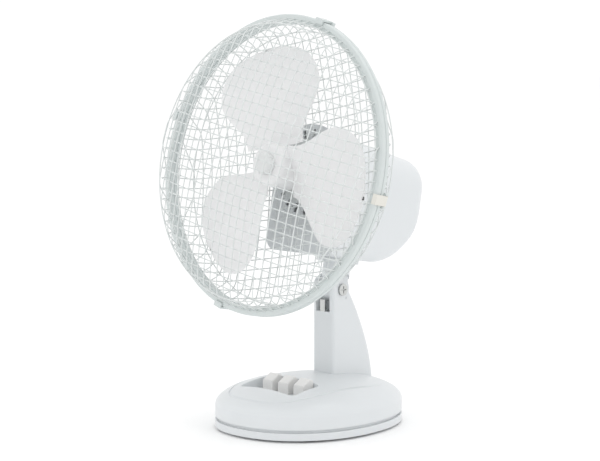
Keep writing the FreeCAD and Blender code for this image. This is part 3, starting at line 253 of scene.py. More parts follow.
def grained(name, colour, roughness, grain, depth, tint=0.03, clouds=45.0, stretch=(1, 1, 1),
            **shader_values):
    """Two close tones in soft clouds, with fine grain in the roughness and the bump."""
    material = bpy.data.materials.new(name)
    material.use_nodes = True
    tree = material.node_tree
    shader = tree.nodes["Principled BSDF"]
    for socket, value in shader_values.items():
        shader.inputs[socket.replace("_", " ")].default_value = value
    place = tree.nodes.new("ShaderNodeTexCoord")
    mapping = new_node(tree, "ShaderNodeMapping", Scale=stretch)
    tree.links.new(place.outputs["Object"], mapping.inputs["Vector"])
    cloud = new_node(tree, "ShaderNodeTexNoise", Scale=clouds, Detail=4.0, Roughness=0.6)
    fine = new_node(tree, "ShaderNodeTexNoise", Scale=grain, Detail=2.0, Roughness=0.55)
    for texture in (cloud, fine):
        tree.links.new(mapping.outputs["Vector"], texture.inputs["Vector"])
    tone = tree.nodes.new("ShaderNodeMix")
    tone.data_type = "RGBA"
    tone.inputs[6].default_value = (*(np.array(colour) * (1 - tint)), 1)
    tone.inputs[7].default_value = (*np.minimum(np.array(colour) * (1 + tint), 1), 1)
    tree.links.new(cloud.outputs["Fac"], tone.inputs[0])
    tree.links.new(tone.outputs[2], shader.inputs["Base Color"])
    dull = new_node(tree, "ShaderNodeMapRange", To_Min=roughness - 0.05, To_Max=roughness + 0.06)
    tree.links.new(fine.outputs["Fac"], dull.inputs["Value"])
    tree.links.new(dull.outputs["Result"], shader.inputs["Roughness"])
    bump = new_node(tree, "ShaderNodeBump", Strength=0.35, Distance=depth)
    tree.links.new(fine.outputs["Fac"], bump.inputs["Height"])
    tree.links.new(bump.outputs["Normal"], shader.inputs["Normal"])
    return material


def finish(slot_name):
    """The finish of a record slot, made the first time it is asked for."""
    made = bpy.data.materials.get(f"fan_{slot_name}")
    return made or FINISHES[slot_name](f"fan_{slot_name}")


def shades():
    return bpy.context.scene.fan_shades


def gloss():
    return bpy.context.scene.fan_shades.shell_roughness


FINISHES = {
    "white_gloss": lambda name: grained(name, shades().shell, gloss(), 900, 0.00003, 0.012,
                                   Coat_Weight=0.25, Coat_Roughness=0.2),
    "key_white": lambda name: grained(name, shades().keys, 0.36, 1200, 0.00003, 0.015),
    "rim_plastic": lambda name: grained(name, shades().rim, 0.42, 1100, 0.00003, 0.02,
                                   Subsurface_Weight=0.1, Subsurface_Radius=(0.002, 0.002, 0.002)),
    "clip_plastic": lambda name: grained(name, shades().clips, 0.45, 1300, 0.00004, 0.04),
    "guard_wire": lambda name: grained(name, shades().wire, 0.34, 700, 0.00002, 0.03),
    "blade_plastic": lambda name: grained(name, shades().blades, 0.33, 500, 0.00004, 0.015,
                                     Subsurface_Weight=0.35, Subsurface_Radius=(0.004, 0.004, 0.004)),
    "nut_plastic": lambda name: grained(name, shades().nuts, 0.4, 1200, 0.00004, 0.02),
    "rubber": lambda name: grained(name, (0.030, 0.030, 0.032), 0.78, 2200, 0.00008, 0.2),
    "zinc_steel": lambda name: grained(name, (0.60, 0.61, 0.60), 0.38, 900, 0.00004, 0.12, 300.0,
                                  Metallic=1.0),
    "dark_plastic": lambda name: grained(name, (0.045, 0.045, 0.05), 0.5, 1500, 0.00005, 0.12),
    "gear_nylon": lambda name: grained(name, (0.74, 0.72, 0.64), 0.46, 1200, 0.00003, 0.04,
                                  Subsurface_Weight=0.2),
    "bronze": lambda name: grained(name, (0.46, 0.30, 0.14), 0.42, 1800, 0.00004, 0.15, 400.0, Metallic=1.0),
    "lamination": lambda name: grained(name, (0.30, 0.31, 0.33), 0.42, 900, 0.0001, 0.15, 120.0,
                                  (1, 12, 1), Metallic=1.0),
    "copper": lambda name: grained(name, (0.62, 0.24, 0.10), 0.33, 900, 0.0002, 0.2, 250.0, (6, 1, 6),
                              Metallic=1.0),
    "motor_plate": lambda name: grained(name, (0.46, 0.47, 0.47), 0.45, 900, 0.00005, 0.15, 200.0,
                                   Metallic=1.0),
    "shaft_steel": lambda name: grained(name, (0.63, 0.63, 0.64), 0.22, 600, 0.00003, 0.08, 200.0,
                                   (1, 10, 1), Metallic=1.0),
}


# ---------------------------------------------------------------- guard wires
def half_wire(offsets, grow, inner):
    """Wall line, corner arc and crown arc of each wire, from the rim to the inner edge.

    A wire lies in a plane at its offset from the axis. The wall leans from the rim to the corner,
    a fillet circle touches both the wall and the crown's circle, and the crown's circle carries on
    to the inner edge. The result holds (depth, across) for every wire and step.
    """
    rim = np.sqrt(WALL_RADIUS ** 2 - offsets ** 2)
    corner = np.sqrt(CORNER_RADIUS ** 2 - offsets ** 2)
    guard_depth = RING_PLANE - MESH_LOW[1] - LAYER_LIFT - CROWN_GAP
    crown_centre = guard_depth - CROWN_RADIUS
    corner_depth = crown_centre + np.sqrt(CROWN_RADIUS ** 2 - CORNER_RADIUS ** 2)
    start = np.stack((np.full_like(rim, WALL_DEPTH), rim), -1)
    bend = np.stack((np.full_like(rim, corner_depth), corner), -1)
    crown = np.sqrt(CROWN_RADIUS ** 2 - offsets ** 2)[:, None]
    centre = np.array((crown_centre, 0.0))
    along = (bend - start) / np.linalg.norm(bend - start, axis=1, keepdims=True)
    inward = np.stack((along[:, 1], -along[:, 0]), -1)
    inward = inward * np.sign(((centre - start) * inward).sum(1, keepdims=True))
    foot = start + inward * CORNER_FILLET
    away = foot - centre
    slope = (away * along).sum(1, keepdims=True)
    reach = (away ** 2).sum(1, keepdims=True)
    travel = -slope + np.sqrt(slope ** 2 - reach + (crown - CORNER_FILLET) ** 2)
    hub = foot + along * travel
    first = start - inward * grow - along * WALL_SINK
    wall_end = hub - inward * (CORNER_FILLET + grow)
    towards = (hub - centre) / np.linalg.norm(hub - centre, axis=1, keepdims=True)
    a = np.arctan2(-inward[:, 1], -inward[:, 0])
    b = np.arctan2(towards[:, 1], towards[:, 0])
    share = np.linspace(0, 1, 9)[None, :]
    swing = a[:, None] + (b - a)[:, None] * share
    radius = CORNER_FILLET + grow
    bent = hub[:, None, :] + radius * np.stack((np.cos(swing), np.sin(swing)), -1)
    end = np.arcsin(np.clip(inner / (crown[:, 0] + grow), 0, 1))
    swing = b[:, None] + (end - b)[:, None] * np.linspace(0, 1, 16)[None, 1:]
    top = centre + (crown + grow)[:, :, None] * np.stack((np.cos(swing), np.sin(swing)), -1)
    line = first[:, None, :] + (wall_end - first)[:, None, :] * np.linspace(0, 1, 4)[None, :-1, None]
    return np.concatenate((line, bent, top), 1)


def round_tubes(paths, offsets, radius, sides):
    """A circle carried along each (depth, across) path.

    The circle's two axes are the path's normal and the normal of the plane that the path lies in.
    """
    ahead = np.gradient(paths, axis=1)
    ahead /= np.linalg.norm(ahead, axis=2, keepdims=True)
    normal = np.stack((ahead[..., 1], -ahead[..., 0]), -1)
    turn = np.linspace(0, FULL_TURN, sides, endpoint=False) + np.pi / sides
    flat = paths[:, :, None, :] + radius * np.cos(turn)[None, None, :, None] * normal[:, :, None, :]
    side = offsets[:, None, None] + radius * np.sin(turn)[None, None, :]
    return flat[..., 0], flat[..., 1], np.broadcast_to(side, flat.shape[:3])


def tube_topology(wires, steps, sides, start):
    """Quads round every tube and a cap on both of its ends."""
    one = grid_faces(steps, sides, wrap_columns=True)
    shift = start + np.arange(wires)[:, None, None] * steps * sides
    quads = (one[None] + shift).reshape(-1, 4)
    ring = np.arange(sides)
    near = (ring[None, ::-1] + shift[:, 0])
    far = (ring[None] + (steps - 1) * sides + shift[:, 0])
    return quads, near, far


def guard_piece(name, node, facing, cut):
    """Both layers of one guard's wires as round tubes, and the two hoops that they are welded to."""
    sizes = bpy.context.scene.fan_sizes
    count = sizes.wires
    offsets = (np.arange(count) - (count - 1) / 2) * sizes.wire_pitch
    blocks, quads, caps, total = [], [], [], 0
    for lift, upright in ((LAYER_LIFT, True), (-LAYER_LIFT, False)):
        cut_here = np.abs(offsets) < cut
        whole = half_wire(offsets[~cut_here], lift, np.zeros((~cut_here).sum()))
        mirrored = whole[:, -2::-1] * (1, -1)
        runs = [(np.concatenate((whole, mirrored), 1), offsets[~cut_here])]
        if cut_here.any():
            part = offsets[cut_here]
            short = half_wire(part, lift, np.sqrt(cut ** 2 - part ** 2))
            runs += [(short, part), (short * (1, -1), part)]
        for paths, shifts in runs:
            depth, across, side = round_tubes(paths, shifts, sizes.wire_diameter / 2, sizes.wire_sides)
            station = RING_PLANE + facing * depth
            order = (side, station, across) if upright else (across, station, side)
            blocks.append(np.stack(order, -1).reshape(-1, 3))
            made = tube_topology(len(shifts), paths.shape[1], sizes.wire_sides, total)
            right_way = signed_volume(blocks[-1] - blocks[-1].mean(0), made[0] - total) > 0
            quads.append(made[0] if right_way else made[0][:, ::-1])
            caps.extend(cap if right_way else cap[:, ::-1] for cap in made[1:])
            total += len(blocks[-1])
    weld = LAYER_LIFT + sizes.wire_diameter * HOOP_SEAT
    for grow, step in ((weld, HOOP_STEPS["corner"]), (-weld, HOOP_STEPS["rim"])):
        depth, radius = half_wire(np.zeros(1), grow, np.zeros(1))[0, step]
        circle = arc_points((radius, RING_PLANE + facing * depth), sizes.wire_diameter / 2, 0, 315, 8)
        rows = revolve(circle, HOOP_DIVISIONS)
        loops = grid_faces(HOOP_DIVISIONS, len(circle), True, True) + total
        blocks.append(rows.reshape(-1, 3))
        right_way = signed_volume(blocks[-1], loops - total) > 0
        quads.append(loops if right_way else loops[:, ::-1])
        total += len(blocks[-1])
    flat = np.concatenate(blocks)
    cosine, sine = np.cos(sizes.mesh_turn), -facing * np.sin(sizes.mesh_turn)
    flat = np.stack((flat[:, 0] * cosine + flat[:, 2] * sine, flat[:, 1],
                     flat[:, 2] * cosine - flat[:, 0] * sine), -1)
    points, quads = on_head(flat), np.concatenate(quads)
    return add_piece(name, points, quads, "head", "guard_wire", (node,), caps)


class FAN_OT_guard_wires(bpy.types.Operator):
    """Makes the front and rear wire guards as two layers of round wires over a drum-shaped dome"""
    bl_idname = "fan.guard_wires"
    bl_label = "Guard Wires"

    def execute(self, context):
        guard_piece("FrontGuardWires", "front_guard_mesh", -1, 0.0)
        guard_piece("RearGuardWires", "rear_guard_mesh", 1, PLATE_CUT)
        return {"FINISHED"}


# ---------------------------------------------------------------- guard rims
def rim_profile(low, high, towards_parting):
    """Rounded band with a shallow step near the parting face, as (radius, station) round a loop."""
    outer, inner = RIM_RADIUS, RIM_RADIUS - RIM_WIDTH
    edge, small = 0.0012, 0.0004
    loop = [
        arc_points((outer - edge, low + edge), edge, -90, 0, 6),
        arc_points((outer - small, high - small), small, 0, 90, 4),
        arc_points((inner + small, high - small), small, 90, 180, 4),
        arc_points((inner + 0.0009, low + 0.0009), 0.0009, 180, 270, 5),
        np.array([(inner + 0.0030, low), (inner + 0.0033, low + 0.0004), (inner + 0.0037, low + 0.0004),
                  (inner + 0.0040, low)]),
    ]
    profile = np.concatenate(loop)
    if towards_parting < 0:
        profile[:, 1] = low + high - profile[:, 1]
    return profile


class FAN_OT_guard_rims(bpy.types.Operator):
    """Makes the two flat plastic rims that meet at the guard's parting line"""
    bl_idname = "fan.guard_rims"
    bl_label = "Guard Rims"

    def execute(self, context):
        steps = 300
        for name, node, low, high, side in (
                ("FrontRim", "front_guard_ring", RING_LOW[1], RING_HIGH[1], 1),
                ("RearRim", "rear_guard_ring", REAR_RING_LOW[1], REAR_RING_HIGH[1], -1)):
            profile = rim_profile(low, high, side)
            points = revolve(profile, steps)
            quads = grid_faces(steps, len(profile), True, True)
            add_piece(name, on_head(points.reshape(-1, 3)), quads, "head", "rim_plastic", (node,))
        return {"FINISHED"}


# ---------------------------------------------------------------- blades
def blade_points(angle, pitch, thickness):
    """One petal: half chord against radius, with a helicoid's rise and a shallow camber across it.

    Each station is a closed loop: across is the half chord times a cosine, and the thickness is a
    flattened sine, so that the edges are round.
    """
    grow = np.linspace(0, 1, 40)
    root = HUB_RADIUS * 0.92
    inner = root + (BLADE_WIDEST - root) * grow
    outer = BLADE_WIDEST + (BLADE_TIP - BLADE_WIDEST) * np.sin(grow[1:] * np.pi / 2)
    radius = np.concatenate((inner, outer))
    share = np.clip((radius - HUB_RADIUS) / (BLADE_WIDEST - HUB_RADIUS), 0, 1)
    swell = BLADE_ROOT + (BLADE_HALF - BLADE_ROOT) * (0.5 - 0.5 * np.cos(np.pi * share))
    beyond = np.clip((radius - BLADE_WIDEST) / (BLADE_TIP - BLADE_WIDEST), 0, 1)
    half = np.where(beyond > 0, BLADE_HALF * (1 - beyond ** TIP_POWER) ** (1 / TIP_POWER), swell)
    turn = np.linspace(0, FULL_TURN, 72, endpoint=False)
    across = half[:, None] * np.cos(turn)[None, :]
    lift = pitch * np.arctan2(across, np.maximum(radius, HUB_RADIUS * 1.2)[:, None])
    camber = BLADE_CAMBER * (1 - np.cos(turn) ** 2)[None, :]
    edge = np.sign(np.sin(turn)) * np.abs(np.sin(turn)) ** EDGE_POWER
    skin = thickness / 2 * edge[None, :] * np.clip(half / 0.006, 0, 1)[:, None]
    station = BLADE_CENTRE + lift + camber + skin
    long, wide = radius[:, None], across
    right = long * np.cos(angle) + wide * np.sin(angle)
    up = long * np.sin(angle) - wide * np.cos(angle)
    return np.stack((right, station, up), -1)


def hub_profile():
    """Closed cup outline from the middle of the front face, round its edge and back to the rear."""
    front, rear = HUB_LOW[1], HUB_HIGH[1]
    return np.concatenate((
        np.array([(0.0085, front + 0.0006), (0.0120, front), (0.0150, front)]),
        arc_points((HUB_RADIUS - 0.004, front + 0.004), 0.004, -90, 0, 8),
        np.array([(HUB_RADIUS, front + 0.010), (HUB_RADIUS, rear - 0.0006), (HUB_RADIUS - 0.0006, rear),
                  (HUB_RADIUS - 0.0022, rear), (HUB_RADIUS - 0.0026, rear - 0.020), (0.0080, rear - 0.022),
                  (0.0078, rear), (HUB_BORE, rear)]),
    ))


class FAN_OT_blades(bpy.types.Operator):
    """Makes the three petals, the hub cup and the fluted knob that holds them on the shaft"""
    bl_idname = "fan.blades"
    bl_label = "Blades"

    def execute(self, context):
        sizes = context.scene.fan_sizes
        for number in range(BLADE_COUNT):
            angle = BLADE_START + number * FULL_TURN / BLADE_COUNT
            points = blade_points(angle, sizes.blade_rise, sizes.blade_thickness)
            rows, columns = points.shape[:2]
            quads = grid_faces(rows, columns, wrap_columns=True)
            root = np.arange(columns)[::-1]
            add_piece(f"Blade_{number + 1}", on_head(points.reshape(-1, 3)), quads, "rotor", "blade_plastic",
                      ("fan_blade",), [root], merge=1e-6)
        profile = hub_profile()
        points = revolve(profile, HUB_DIVISIONS)
        quads = grid_faces(HUB_DIVISIONS, len(profile), True, True)
        add_piece("BladeHub", on_head(points.reshape(-1, 3)), quads, "rotor", "blade_plastic", ("fan_blade",))
        self.knob()
        return {"FINISHED"}

    def knob(self):
        """The knob's radius dips ten times a turn, most at mid height, for a finger grip."""
        low, high, radius = KNOB_LOW[1], KNOB_HIGH[1], KNOB_HIGH[0]
        profile = np.concatenate((
            np.array([(0.0002, low), (radius * 0.45, low)]),
            arc_points((radius - 0.0035, low + 0.0035), 0.0035, -90, 0, 9),
            np.array([(radius, high - 0.0030), (radius, high - 0.0004), (radius - 0.0004, high),
                      (HUB_BORE, high)]),
        ))
        steps = 160
        points = revolve(profile, steps)
        turn = np.linspace(0, FULL_TURN, steps, endpoint=False)[:, None]
        outside = np.clip((profile[:, 0] / radius - 0.6) / 0.4, 0, 1)[None, :]
        dip = 1 - FLUTE_DEPTH * outside * np.clip(np.cos(KNOB_FLUTES * turn), 0, 1) ** 2
        points[..., 0] *= dip
        points[..., 2] *= dip
        quads = grid_faces(steps, len(profile), True, True)
        add_piece("BladeKnob", on_head(points.reshape(-1, 3)), quads, "rotor", "nut_plastic", ("blade_nut",))


# ---------------------------------------------------------------- motor shell
def shell_section(station, drawn_in):
    """Right half outline at each station, from the crown's top down to the underside's middle.

    A quarter circle for the top, a straight side, a quarter circle for the lower corner and a straight
    underside that stops at the collar's round opening.
    """
    past = station - SHELL_FRONT
    radius = SHELL_TAPER[0] - SHELL_TAPER[1] * past + SHELL_TAPER[2] * past ** 2 - drawn_in
    run = np.clip(station - SHELL_BEND_START, 0, SHELL_BEND * 0.97)
    floor = SHELL_BOTTOM + SHELL_BEND - np.sqrt(SHELL_BEND ** 2 - run ** 2) + drawn_in
    floor = np.minimum(floor, SHELL_UNDERSIDE)
    corner = np.minimum(SHELL_CORNER, -floor / 2)
    opening = np.sqrt(np.clip(COLLAR_OPENING ** 2 - station ** 2, 0, None))
    top = np.linspace(0, np.pi / 2, 25)[None, :]
    bend = np.linspace(0, np.pi / 2, 9)[None, :]
    side = np.linspace(0, 1, 8)[None, 1:-1]
    flat = np.linspace(0, 1, 9)[None, 1:]
    radius, floor, corner, opening = (v[:, None] for v in (radius, floor, corner, opening))
    x = (radius * np.sin(top), radius + 0 * side, radius - corner + corner * np.cos(bend),
         (radius - corner) * (1 - flat) + opening * flat)
    z = (radius * np.cos(top), (floor + corner) * side, floor + corner - corner * np.sin(bend),
         floor + 0 * flat)
    return np.concatenate(x, 1), np.concatenate(z, 1)


class FAN_OT_motor_shell(bpy.types.Operator):
    """Makes the smooth rear shell of the motor with its rolled front lip and collar opening"""
    bl_idname = "fan.motor_shell"
    bl_label = "Motor Shell"

    def execute(self, context):
        front, rear = SHELL_LOW[1], SHELL_HIGH[1]
        opening = -np.cos(np.linspace(0, np.pi, 25)) * COLLAR_OPENING
        start = rear - SHELL_END_RADIUS
        bend = np.linspace(0, np.pi / 2, 22)
        station = np.concatenate((
            [front, front, front + 0.0004], np.linspace(front + 0.002, opening[0] - 0.001, 6), opening,
            np.linspace(opening[-1] + 0.001, start - 0.002, 24), start + SHELL_END_RADIUS * np.sin(bend)))
        drawn_in = np.concatenate((
            [SHELL_WALL, 0.0004, 0.0], np.zeros(6 + 25 + 24), SHELL_END_RADIUS * (1 - np.cos(bend))))
        drawn_in = np.minimum(drawn_in, SHELL_END_INSET)
        x, z = shell_section(station, drawn_in)
        y = np.broadcast_to(station[:, None], x.shape)
        rise = SHELL_WALL * (np.abs(station) < COLLAR_OPENING)[:, None]
        right = np.stack((x, y, z), -1)
        inside = np.stack((x[:, -1:], y[:, -1:], z[:, -1:] + rise), -1)
        half = np.concatenate((right, inside), 1)
        left = half[:, ::-1] * (-1, 1, 1)
        points = np.concatenate((left, half), 1)
        rows, columns = points.shape[:2]
        quads = grid_faces(rows, columns)
        end = points[-1]
        middle = np.array([[0, rear, end[:, 2].mean()]])
        cap = self.end_cap(rows, columns)
        flat = np.concatenate((points.reshape(-1, 3), middle))
        add_piece("MotorShell", on_head(flat), quads, "head", "white_gloss", ("motor_housing",), [cap],
                  merge=2e-6)
        return {"FINISHED"}

    def end_cap(self, rows, columns):
        """Triangles from the last row to its middle."""
        ring = (rows - 1) * columns + np.arange(columns)
        centre = np.full(columns - 1, rows * columns)
        return np.stack((ring[:-1], ring[1:], centre), -1)


# ---------------------------------------------------------------- base cover
def outline_radius(angle):
    """Egg-shaped superellipse: the polar radius from the two half sizes."""
    half_x = BASE_HALF_X * (1 - BASE_EGG * np.sin(angle))
    near = np.abs(np.cos(angle) / half_x) ** BASE_POWER
    return (near + np.abs(np.sin(angle) / BASE_HALF_Y) ** BASE_POWER) ** (-1 / BASE_POWER)


def dome_height(x, y):
    """Height over the plan: an elliptic arc of the outline's scale, found by repeated correction."""
    scale = np.hypot(x, y) / outline_radius(np.arctan2(y, x))
    for _ in range(12):
        away = y - DOME_SHIFT * (1 - scale)
        scale = np.hypot(x, away) / outline_radius(np.arctan2(away, x))
    return SHOULDER + DOME_RISE * np.sqrt(np.clip(1 - scale ** 2, 0, None))


def well_loop(turn, grow):
    """Rounded rectangle round the key well, grown outwards: a superellipse with square shoulders."""
    middle = WELL_BACK - WELL_LENGTH / 2
    half_x, half_y = WELL_HALF_X + grow, WELL_LENGTH / 2 + grow
    angle = np.arctan2(np.sin(turn) * half_y, np.cos(turn) * half_x)
    near = np.abs(np.cos(angle) / half_x) ** WELL_POWER
    radius = (near + np.abs(np.sin(angle) / half_y) ** WELL_POWER) ** (-1 / WELL_POWER)
    return radius * np.cos(angle), middle + radius * np.sin(angle)


def groove_loop(turn):
    """Closed line of the styling groove: a long superellipse that flares towards the rear."""
    cosine, sine = np.cos(turn), np.sin(turn)
    x = GROOVE_HALF_X * np.sign(cosine) * np.abs(cosine) ** (2 / GROOVE_POWER)
    y = GROOVE_MIDDLE + GROOVE_HALF_Y * np.sign(sine) * np.abs(sine) ** (2 / GROOVE_POWER)
    flare = 1 + GROOVE_FLARE * np.clip((y + 0.03) / 0.09, 0, 1) ** 2
    return x * flare, y


class FAN_OT_base_cover(bpy.types.Operator):
    """Makes the domed cover with its key well, its shallow groove and its rolled lower edge"""
    bl_idname = "fan.base_cover"
    bl_label = "Base Cover"

    def execute(self, context):
        sizes = context.scene.fan_sizes
        turn = np.linspace(0, FULL_TURN, 480, endpoint=False)
        rows = []

        def level(x, y, z):
            rows.append(np.stack((x, y, np.broadcast_to(z, x.shape)), -1))

        for grow, height in ((-WELL_FLOOR_INSET, 0.0), (-LIP, 0.0), (-LIP * 0.3, LIP * 0.3), (0.0, LIP)):
            level(*well_loop(turn, grow), WELL_FLOOR + height)
        x, y = well_loop(turn, 0.0)
        wall_top = dome_height(x, y) - LIP
        for share in (0.35, 0.7, 1.0):
            level(x, y, WELL_FLOOR + LIP + (wall_top - WELL_FLOOR - LIP) * share)
        for angle in np.radians((30, 60, 90)):
            grow = LIP * (1 - np.cos(angle))
            x, y = well_loop(turn, grow)
            level(x, y, dome_height(x, y) - LIP * (1 - np.sin(angle)))
        wx, wy = well_loop(turn, LIP)
        gx, gy = groove_loop(turn)
        width = sizes.groove_width
        ox, oy = self.outline(turn)
        gap = np.hypot(gx - wx, gy - wy)
        for share in np.linspace(0, 1, 26)[1:-1]:
            inner = share * (1 - width / gap)
            x, y = wx + (gx - wx) * inner, wy + (gy - wy) * inner
            level(x, y, dome_height(x, y))
        away = np.stack((ox - gx, oy - gy))
        away /= np.linalg.norm(away, axis=0)
        fade = 1 - np.clip((gy - 0.015) / 0.035, 0, 1)
        for step in np.linspace(-1, 1, 11):
            x, y = gx + away[0] * width * step, gy + away[1] * width * step
            level(x, y, dome_height(x, y) - sizes.groove_depth * fade * (1 - step ** 2) ** 2)
        fx, fy = gx + away[0] * width, gy + away[1] * width
        for angle in np.linspace(0, np.pi / 2, 44)[1:]:
            share = np.sin(angle)
            x, y = fx + (ox - fx) * share, fy + (oy - fy) * share
            level(x, y, dome_height(x, y))
        bottom = COVER_LOW[2]
        for share in np.linspace(0, 1, 9)[1:]:
            level(ox, oy, SHOULDER + (bottom + LIP - SHOULDER) * share)
        for angle in np.radians((30, 60, 90)):
            inset = 1 - LIP * (1 - np.cos(angle)) / np.hypot(ox, oy)
            level(ox * inset, oy * inset, bottom + LIP * (1 - np.sin(angle)))
        inset = 1 - COVER_WALL / np.hypot(ox, oy)
        level(ox * inset, oy * inset, bottom)
        points = np.stack(rows)
        count, around = points.shape[:2]
        quads = grid_faces(count, around, wrap_columns=True)
        flat = points.reshape(-1, 3)
        centres = flat[quads].mean(1)
        inlet = (INLET_LOW + INLET_HIGH) / 2
        away = np.hypot(centres[:, 0] - inlet[0], centres[:, 2] - inlet[2])
        quads = quads[(away > sizes.inlet_hole) | (centres[:, 1] < inlet[1] - 0.01)]
        ring = np.arange(around)
        middle = np.array([[0, WELL_BACK - WELL_LENGTH / 2, WELL_FLOOR]])
        cap = np.stack((np.roll(ring, -1), ring, np.full(around, len(flat))), -1)
        add_piece("BaseCover", np.concatenate((flat, middle)), quads, "base", "white_gloss", ("base_cover",),
                  [cap], sharp=55.0)
        return {"FINISHED"}

    def outline(self, turn):
        """The cover's plan outline at the same turn as the inner loops."""
        gx, gy = groove_loop(turn)
        angle = np.arctan2(gy, gx)
        radius = outline_radius(angle)
        return radius * np.cos(angle), radius * np.sin(angle)


# ---------------------------------------------------------------- finishes on the carried-over nodes
class FAN_OT_finishes(bpy.types.Operator):
    """Gives every carried-over node the finish of its slot in the record"""
    bl_idname = "fan.finishes"
    bl_label = "Finishes"

    def execute(self, context):
        slots = {row["node"]: row["material_slot"] for row in frame["record"]["subparts"]}
        for name, node in NODES.items():
            if node.hide_render:
                continue
            material = finish(slots[name])
            if not node.material_slots:
                node.data.materials.append(material)
            for place in node.material_slots:
                place.material = material
        return {"FINISHED"}


# ---------------------------------------------------------------- stage
class FAN_OT_stage(bpy.types.Operator):
    """Lays the pale floor, hangs the soft studio lights and sets the camera"""
    bl_idname = "fan.stage"
    bl_label = "Stage"

    def execute(self, context):
        self.floor()
        self.lights(context.scene)
        self.camera(context.scene)
        return {"FINISHED"}

    def floor(self):
        """A flat disc in rings, centred under the object."""
        turn = np.linspace(0, FULL_TURN, 96, endpoint=False)
        radius = np.linspace(0.02, 1, 24) ** 2 * FLOOR_RADIUS
        low, high = CAD_BOUNDS
        x = (low.x + high.x) / 2 + radius[:, None] * np.cos(turn)[None, :]
        y = (low.y + high.y) / 2 + radius[:, None] * np.sin(turn)[None, :]
        points = np.stack((x, y, np.full_like(x, low.z - FLOOR_GAP)), -1).reshape(-1, 3)
        polygons = grid_faces(24, 96, wrap_columns=True).tolist() + [list(range(96))]
        mesh = bpy.data.meshes.new("Floor")
        mesh.from_pydata(points.tolist(), [], polygons)
        floor = bpy.data.objects.new("Floor", mesh)
        bpy.context.scene.collection.objects.link(floor)
        mesh.materials.append(grained("floor_paper", (0.985, 0.985, 0.985), 0.85, 600, 0.00005, 0.01, 3.0))

    def lights(self, scene):
        """An even white sky, a broad key light above the left front and a fill on the right."""
        world = bpy.data.worlds.new("StudioSky")
        world.use_nodes = True
        background = world.node_tree.nodes["Background"]
        background.inputs["Color"].default_value = (1.0, 1.0, 1.0, 1)
        background.inputs["Strength"].default_value = 1.04
        scene.world = world
        middle = (CAD_BOUNDS[0] + CAD_BOUNDS[1]) / 2
        for name, place, size, power in (
                ("KeyLight", (-0.9, -1.3, 2.0), 1.2, 1.3),
                ("FillLight", (2.2, -0.4, 1.0), 1.2, 0.6),
                ("TopLight", (0.2, 0.2, 2.4), 1.4, 6.5)):
            lamp = bpy.data.lights.new(name, "AREA")
            lamp.energy = power
            lamp.size = size
            light = bpy.data.objects.new(name, lamp)
            light.location = place
            light.rotation_euler = (middle - Vector(place)).to_track_quat("-Z", "Y").to_euler()
            scene.collection.objects.link(light)

    def camera(self, scene):
        """A long lens, turned to the right front and slightly above the object."""
        view = scene.fan_view
        back = Vector((np.sin(view.azimuth) * np.cos(view.elevation),
                       -np.cos(view.azimuth) * np.cos(view.elevation), np.sin(view.elevation)))
        target = Vector((0, 0, view.target_height))
        lens = bpy.data.cameras.new("Camera")
        lens.sensor_width = 36.0
        lens.lens = view.lens
        lens.shift_x, lens.shift_y = view.shift
        lens.dof.use_dof = False
        lens.clip_start, lens.clip_end = 0.05, 60.0
        camera = bpy.data.objects.new("Camera", lens)
        camera.location = target + back * view.distance
        camera.rotation_euler = back.to_track_quat("Z", "Y").to_euler()
        scene.collection.objects.link(camera)
        scene.camera = camera
        scene.view_settings.view_transform = "Standard"


# ---------------------------------------------------------------- settings
class FanSizes(bpy.types.PropertyGroup):
    wires: IntProperty(name="Wires", description="Parallel wires in each layer of a guard", default=28, min=4)
    wire_pitch: FloatProperty(name="Wire pitch", description="Distance between neighbouring wires",
                              default=0.0093, unit="LENGTH")
    mesh_turn: FloatProperty(name="Mesh turn", description="Turn of the wires in their ring",
                             default=np.radians(10.0), subtype="ANGLE")
    wire_diameter: FloatProperty(name="Wire diameter", description="Thickness of the coated guard wire",
                                 default=0.00105, unit="LENGTH")
    wire_sides: IntProperty(name="Wire sides", description="Faces round one wire", default=8, min=5)
    blade_rise: FloatProperty(name="Blade rise", description="Axial rise of a blade per radian across it",
                              default=0.016, unit="LENGTH")
    blade_thickness: FloatProperty(name="Blade thickness", description="Thickness of a moulded blade",
                                   default=0.0018, unit="LENGTH")
    groove_width: FloatProperty(name="Groove half width",
                                description="Half width of the base's styling groove", default=0.0015,
                                unit="LENGTH")
    groove_depth: FloatProperty(name="Groove depth", description="Depth of the base's styling groove",
                                default=0.0013, unit="LENGTH")
    inlet_hole: FloatProperty(name="Inlet hole", description="Radius opened behind the inlet's flange",
                              default=0.0050, unit="LENGTH")


class FanShades(bpy.types.PropertyGroup):
    shell: FloatVectorProperty(name="Shell", description="Moulded shell of base, column and motor",
                               default=(0.70, 0.725, 0.74), subtype="COLOR", size=3)
    shell_roughness: FloatProperty(name="Shell roughness", description="How dull the moulded shell is",
                                   default=0.38, subtype="FACTOR")
    keys: FloatVectorProperty(name="Keys", description="Piano keys", default=(0.78, 0.775, 0.765),
                              subtype="COLOR", size=3)
    rim: FloatVectorProperty(name="Rims", description="Guard rims", default=(0.63, 0.675, 0.67),
                             subtype="COLOR", size=3)
    clips: FloatVectorProperty(name="Clips", description="Guard clips", default=(0.74, 0.725, 0.67),
                               subtype="COLOR", size=3)
    wire: FloatVectorProperty(name="Wire", description="Coated guard wire", default=(0.70, 0.73, 0.725),
                              subtype="COLOR", size=3)
    blades: FloatVectorProperty(name="Blades", description="Milky blade plastic", default=(0.83, 0.83, 0.835),
                                subtype="COLOR", size=3)
    nuts: FloatVectorProperty(name="Nuts", description="Knob and guard nut", default=(0.74, 0.75, 0.75),
                              subtype="COLOR", size=3)


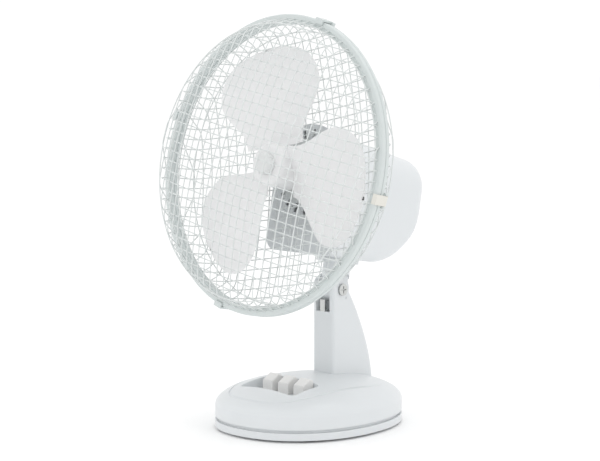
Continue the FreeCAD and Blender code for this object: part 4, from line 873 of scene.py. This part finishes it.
class FanView(bpy.types.PropertyGroup):
    azimuth: FloatProperty(name="Azimuth", description="Turn of the camera round the object",
                           default=np.radians(44.15), subtype="ANGLE")
    elevation: FloatProperty(name="Elevation", description="Camera's angle above the horizon",
                             default=np.radians(5.653), subtype="ANGLE")
    distance: FloatProperty(name="Distance", description="Camera's distance from its target", default=1.8,
                            unit="LENGTH")
    target_height: FloatProperty(name="Target height", description="Height that the camera looks at",
                                 default=0.19, unit="LENGTH")
    lens: FloatProperty(name="Lens", description="Focal length in millimetres", default=116.7)
    shift: FloatVectorProperty(name="Shift", description="Lens shift that frames the object",
                               default=(-0.0181, -0.0157), size=2)


class FAN_PT_panel(bpy.types.Panel):
    """Desk fan sizes, shades and build steps"""
    bl_label = "Desk Fan"
    bl_idname = "FAN_PT_panel"
    bl_space_type = "VIEW_3D"
    bl_region_type = "UI"
    bl_category = "Desk Fan"

    def draw(self, context):
        for group in (context.scene.fan_sizes, context.scene.fan_shades, context.scene.fan_view):
            box = self.layout.box()
            for name in group.bl_rna.properties.keys():
                if name not in ("rna_type", "name"):
                    box.prop(group, name)
        for step in STEPS:
            self.layout.operator(step.bl_idname)


STEPS = (FAN_OT_base_cover, FAN_OT_motor_shell, FAN_OT_guard_rims, FAN_OT_guard_wires, FAN_OT_blades,
         FAN_OT_finishes, FAN_OT_stage)
CLASSES = (FanSizes, FanShades, FanView, *STEPS, FAN_PT_panel)


def register():
    for kind in CLASSES:
        bpy.utils.register_class(kind)
    bpy.types.Scene.fan_sizes = PointerProperty(type=FanSizes)
    bpy.types.Scene.fan_shades = PointerProperty(type=FanShades)
    bpy.types.Scene.fan_view = PointerProperty(type=FanView)


def unregister():
    del bpy.types.Scene.fan_view
    del bpy.types.Scene.fan_shades
    del bpy.types.Scene.fan_sizes
    for kind in reversed(CLASSES):
        bpy.utils.unregister_class(kind)


def main():
    register()
    bpy.ops.fan.base_cover()
    bpy.ops.fan.motor_shell()
    bpy.ops.fan.guard_rims()
    bpy.ops.fan.guard_wires()
    bpy.ops.fan.blades()
    bpy.ops.fan.finishes()
    bpy.ops.fan.stage()


if __name__ == "__main__":
    main()
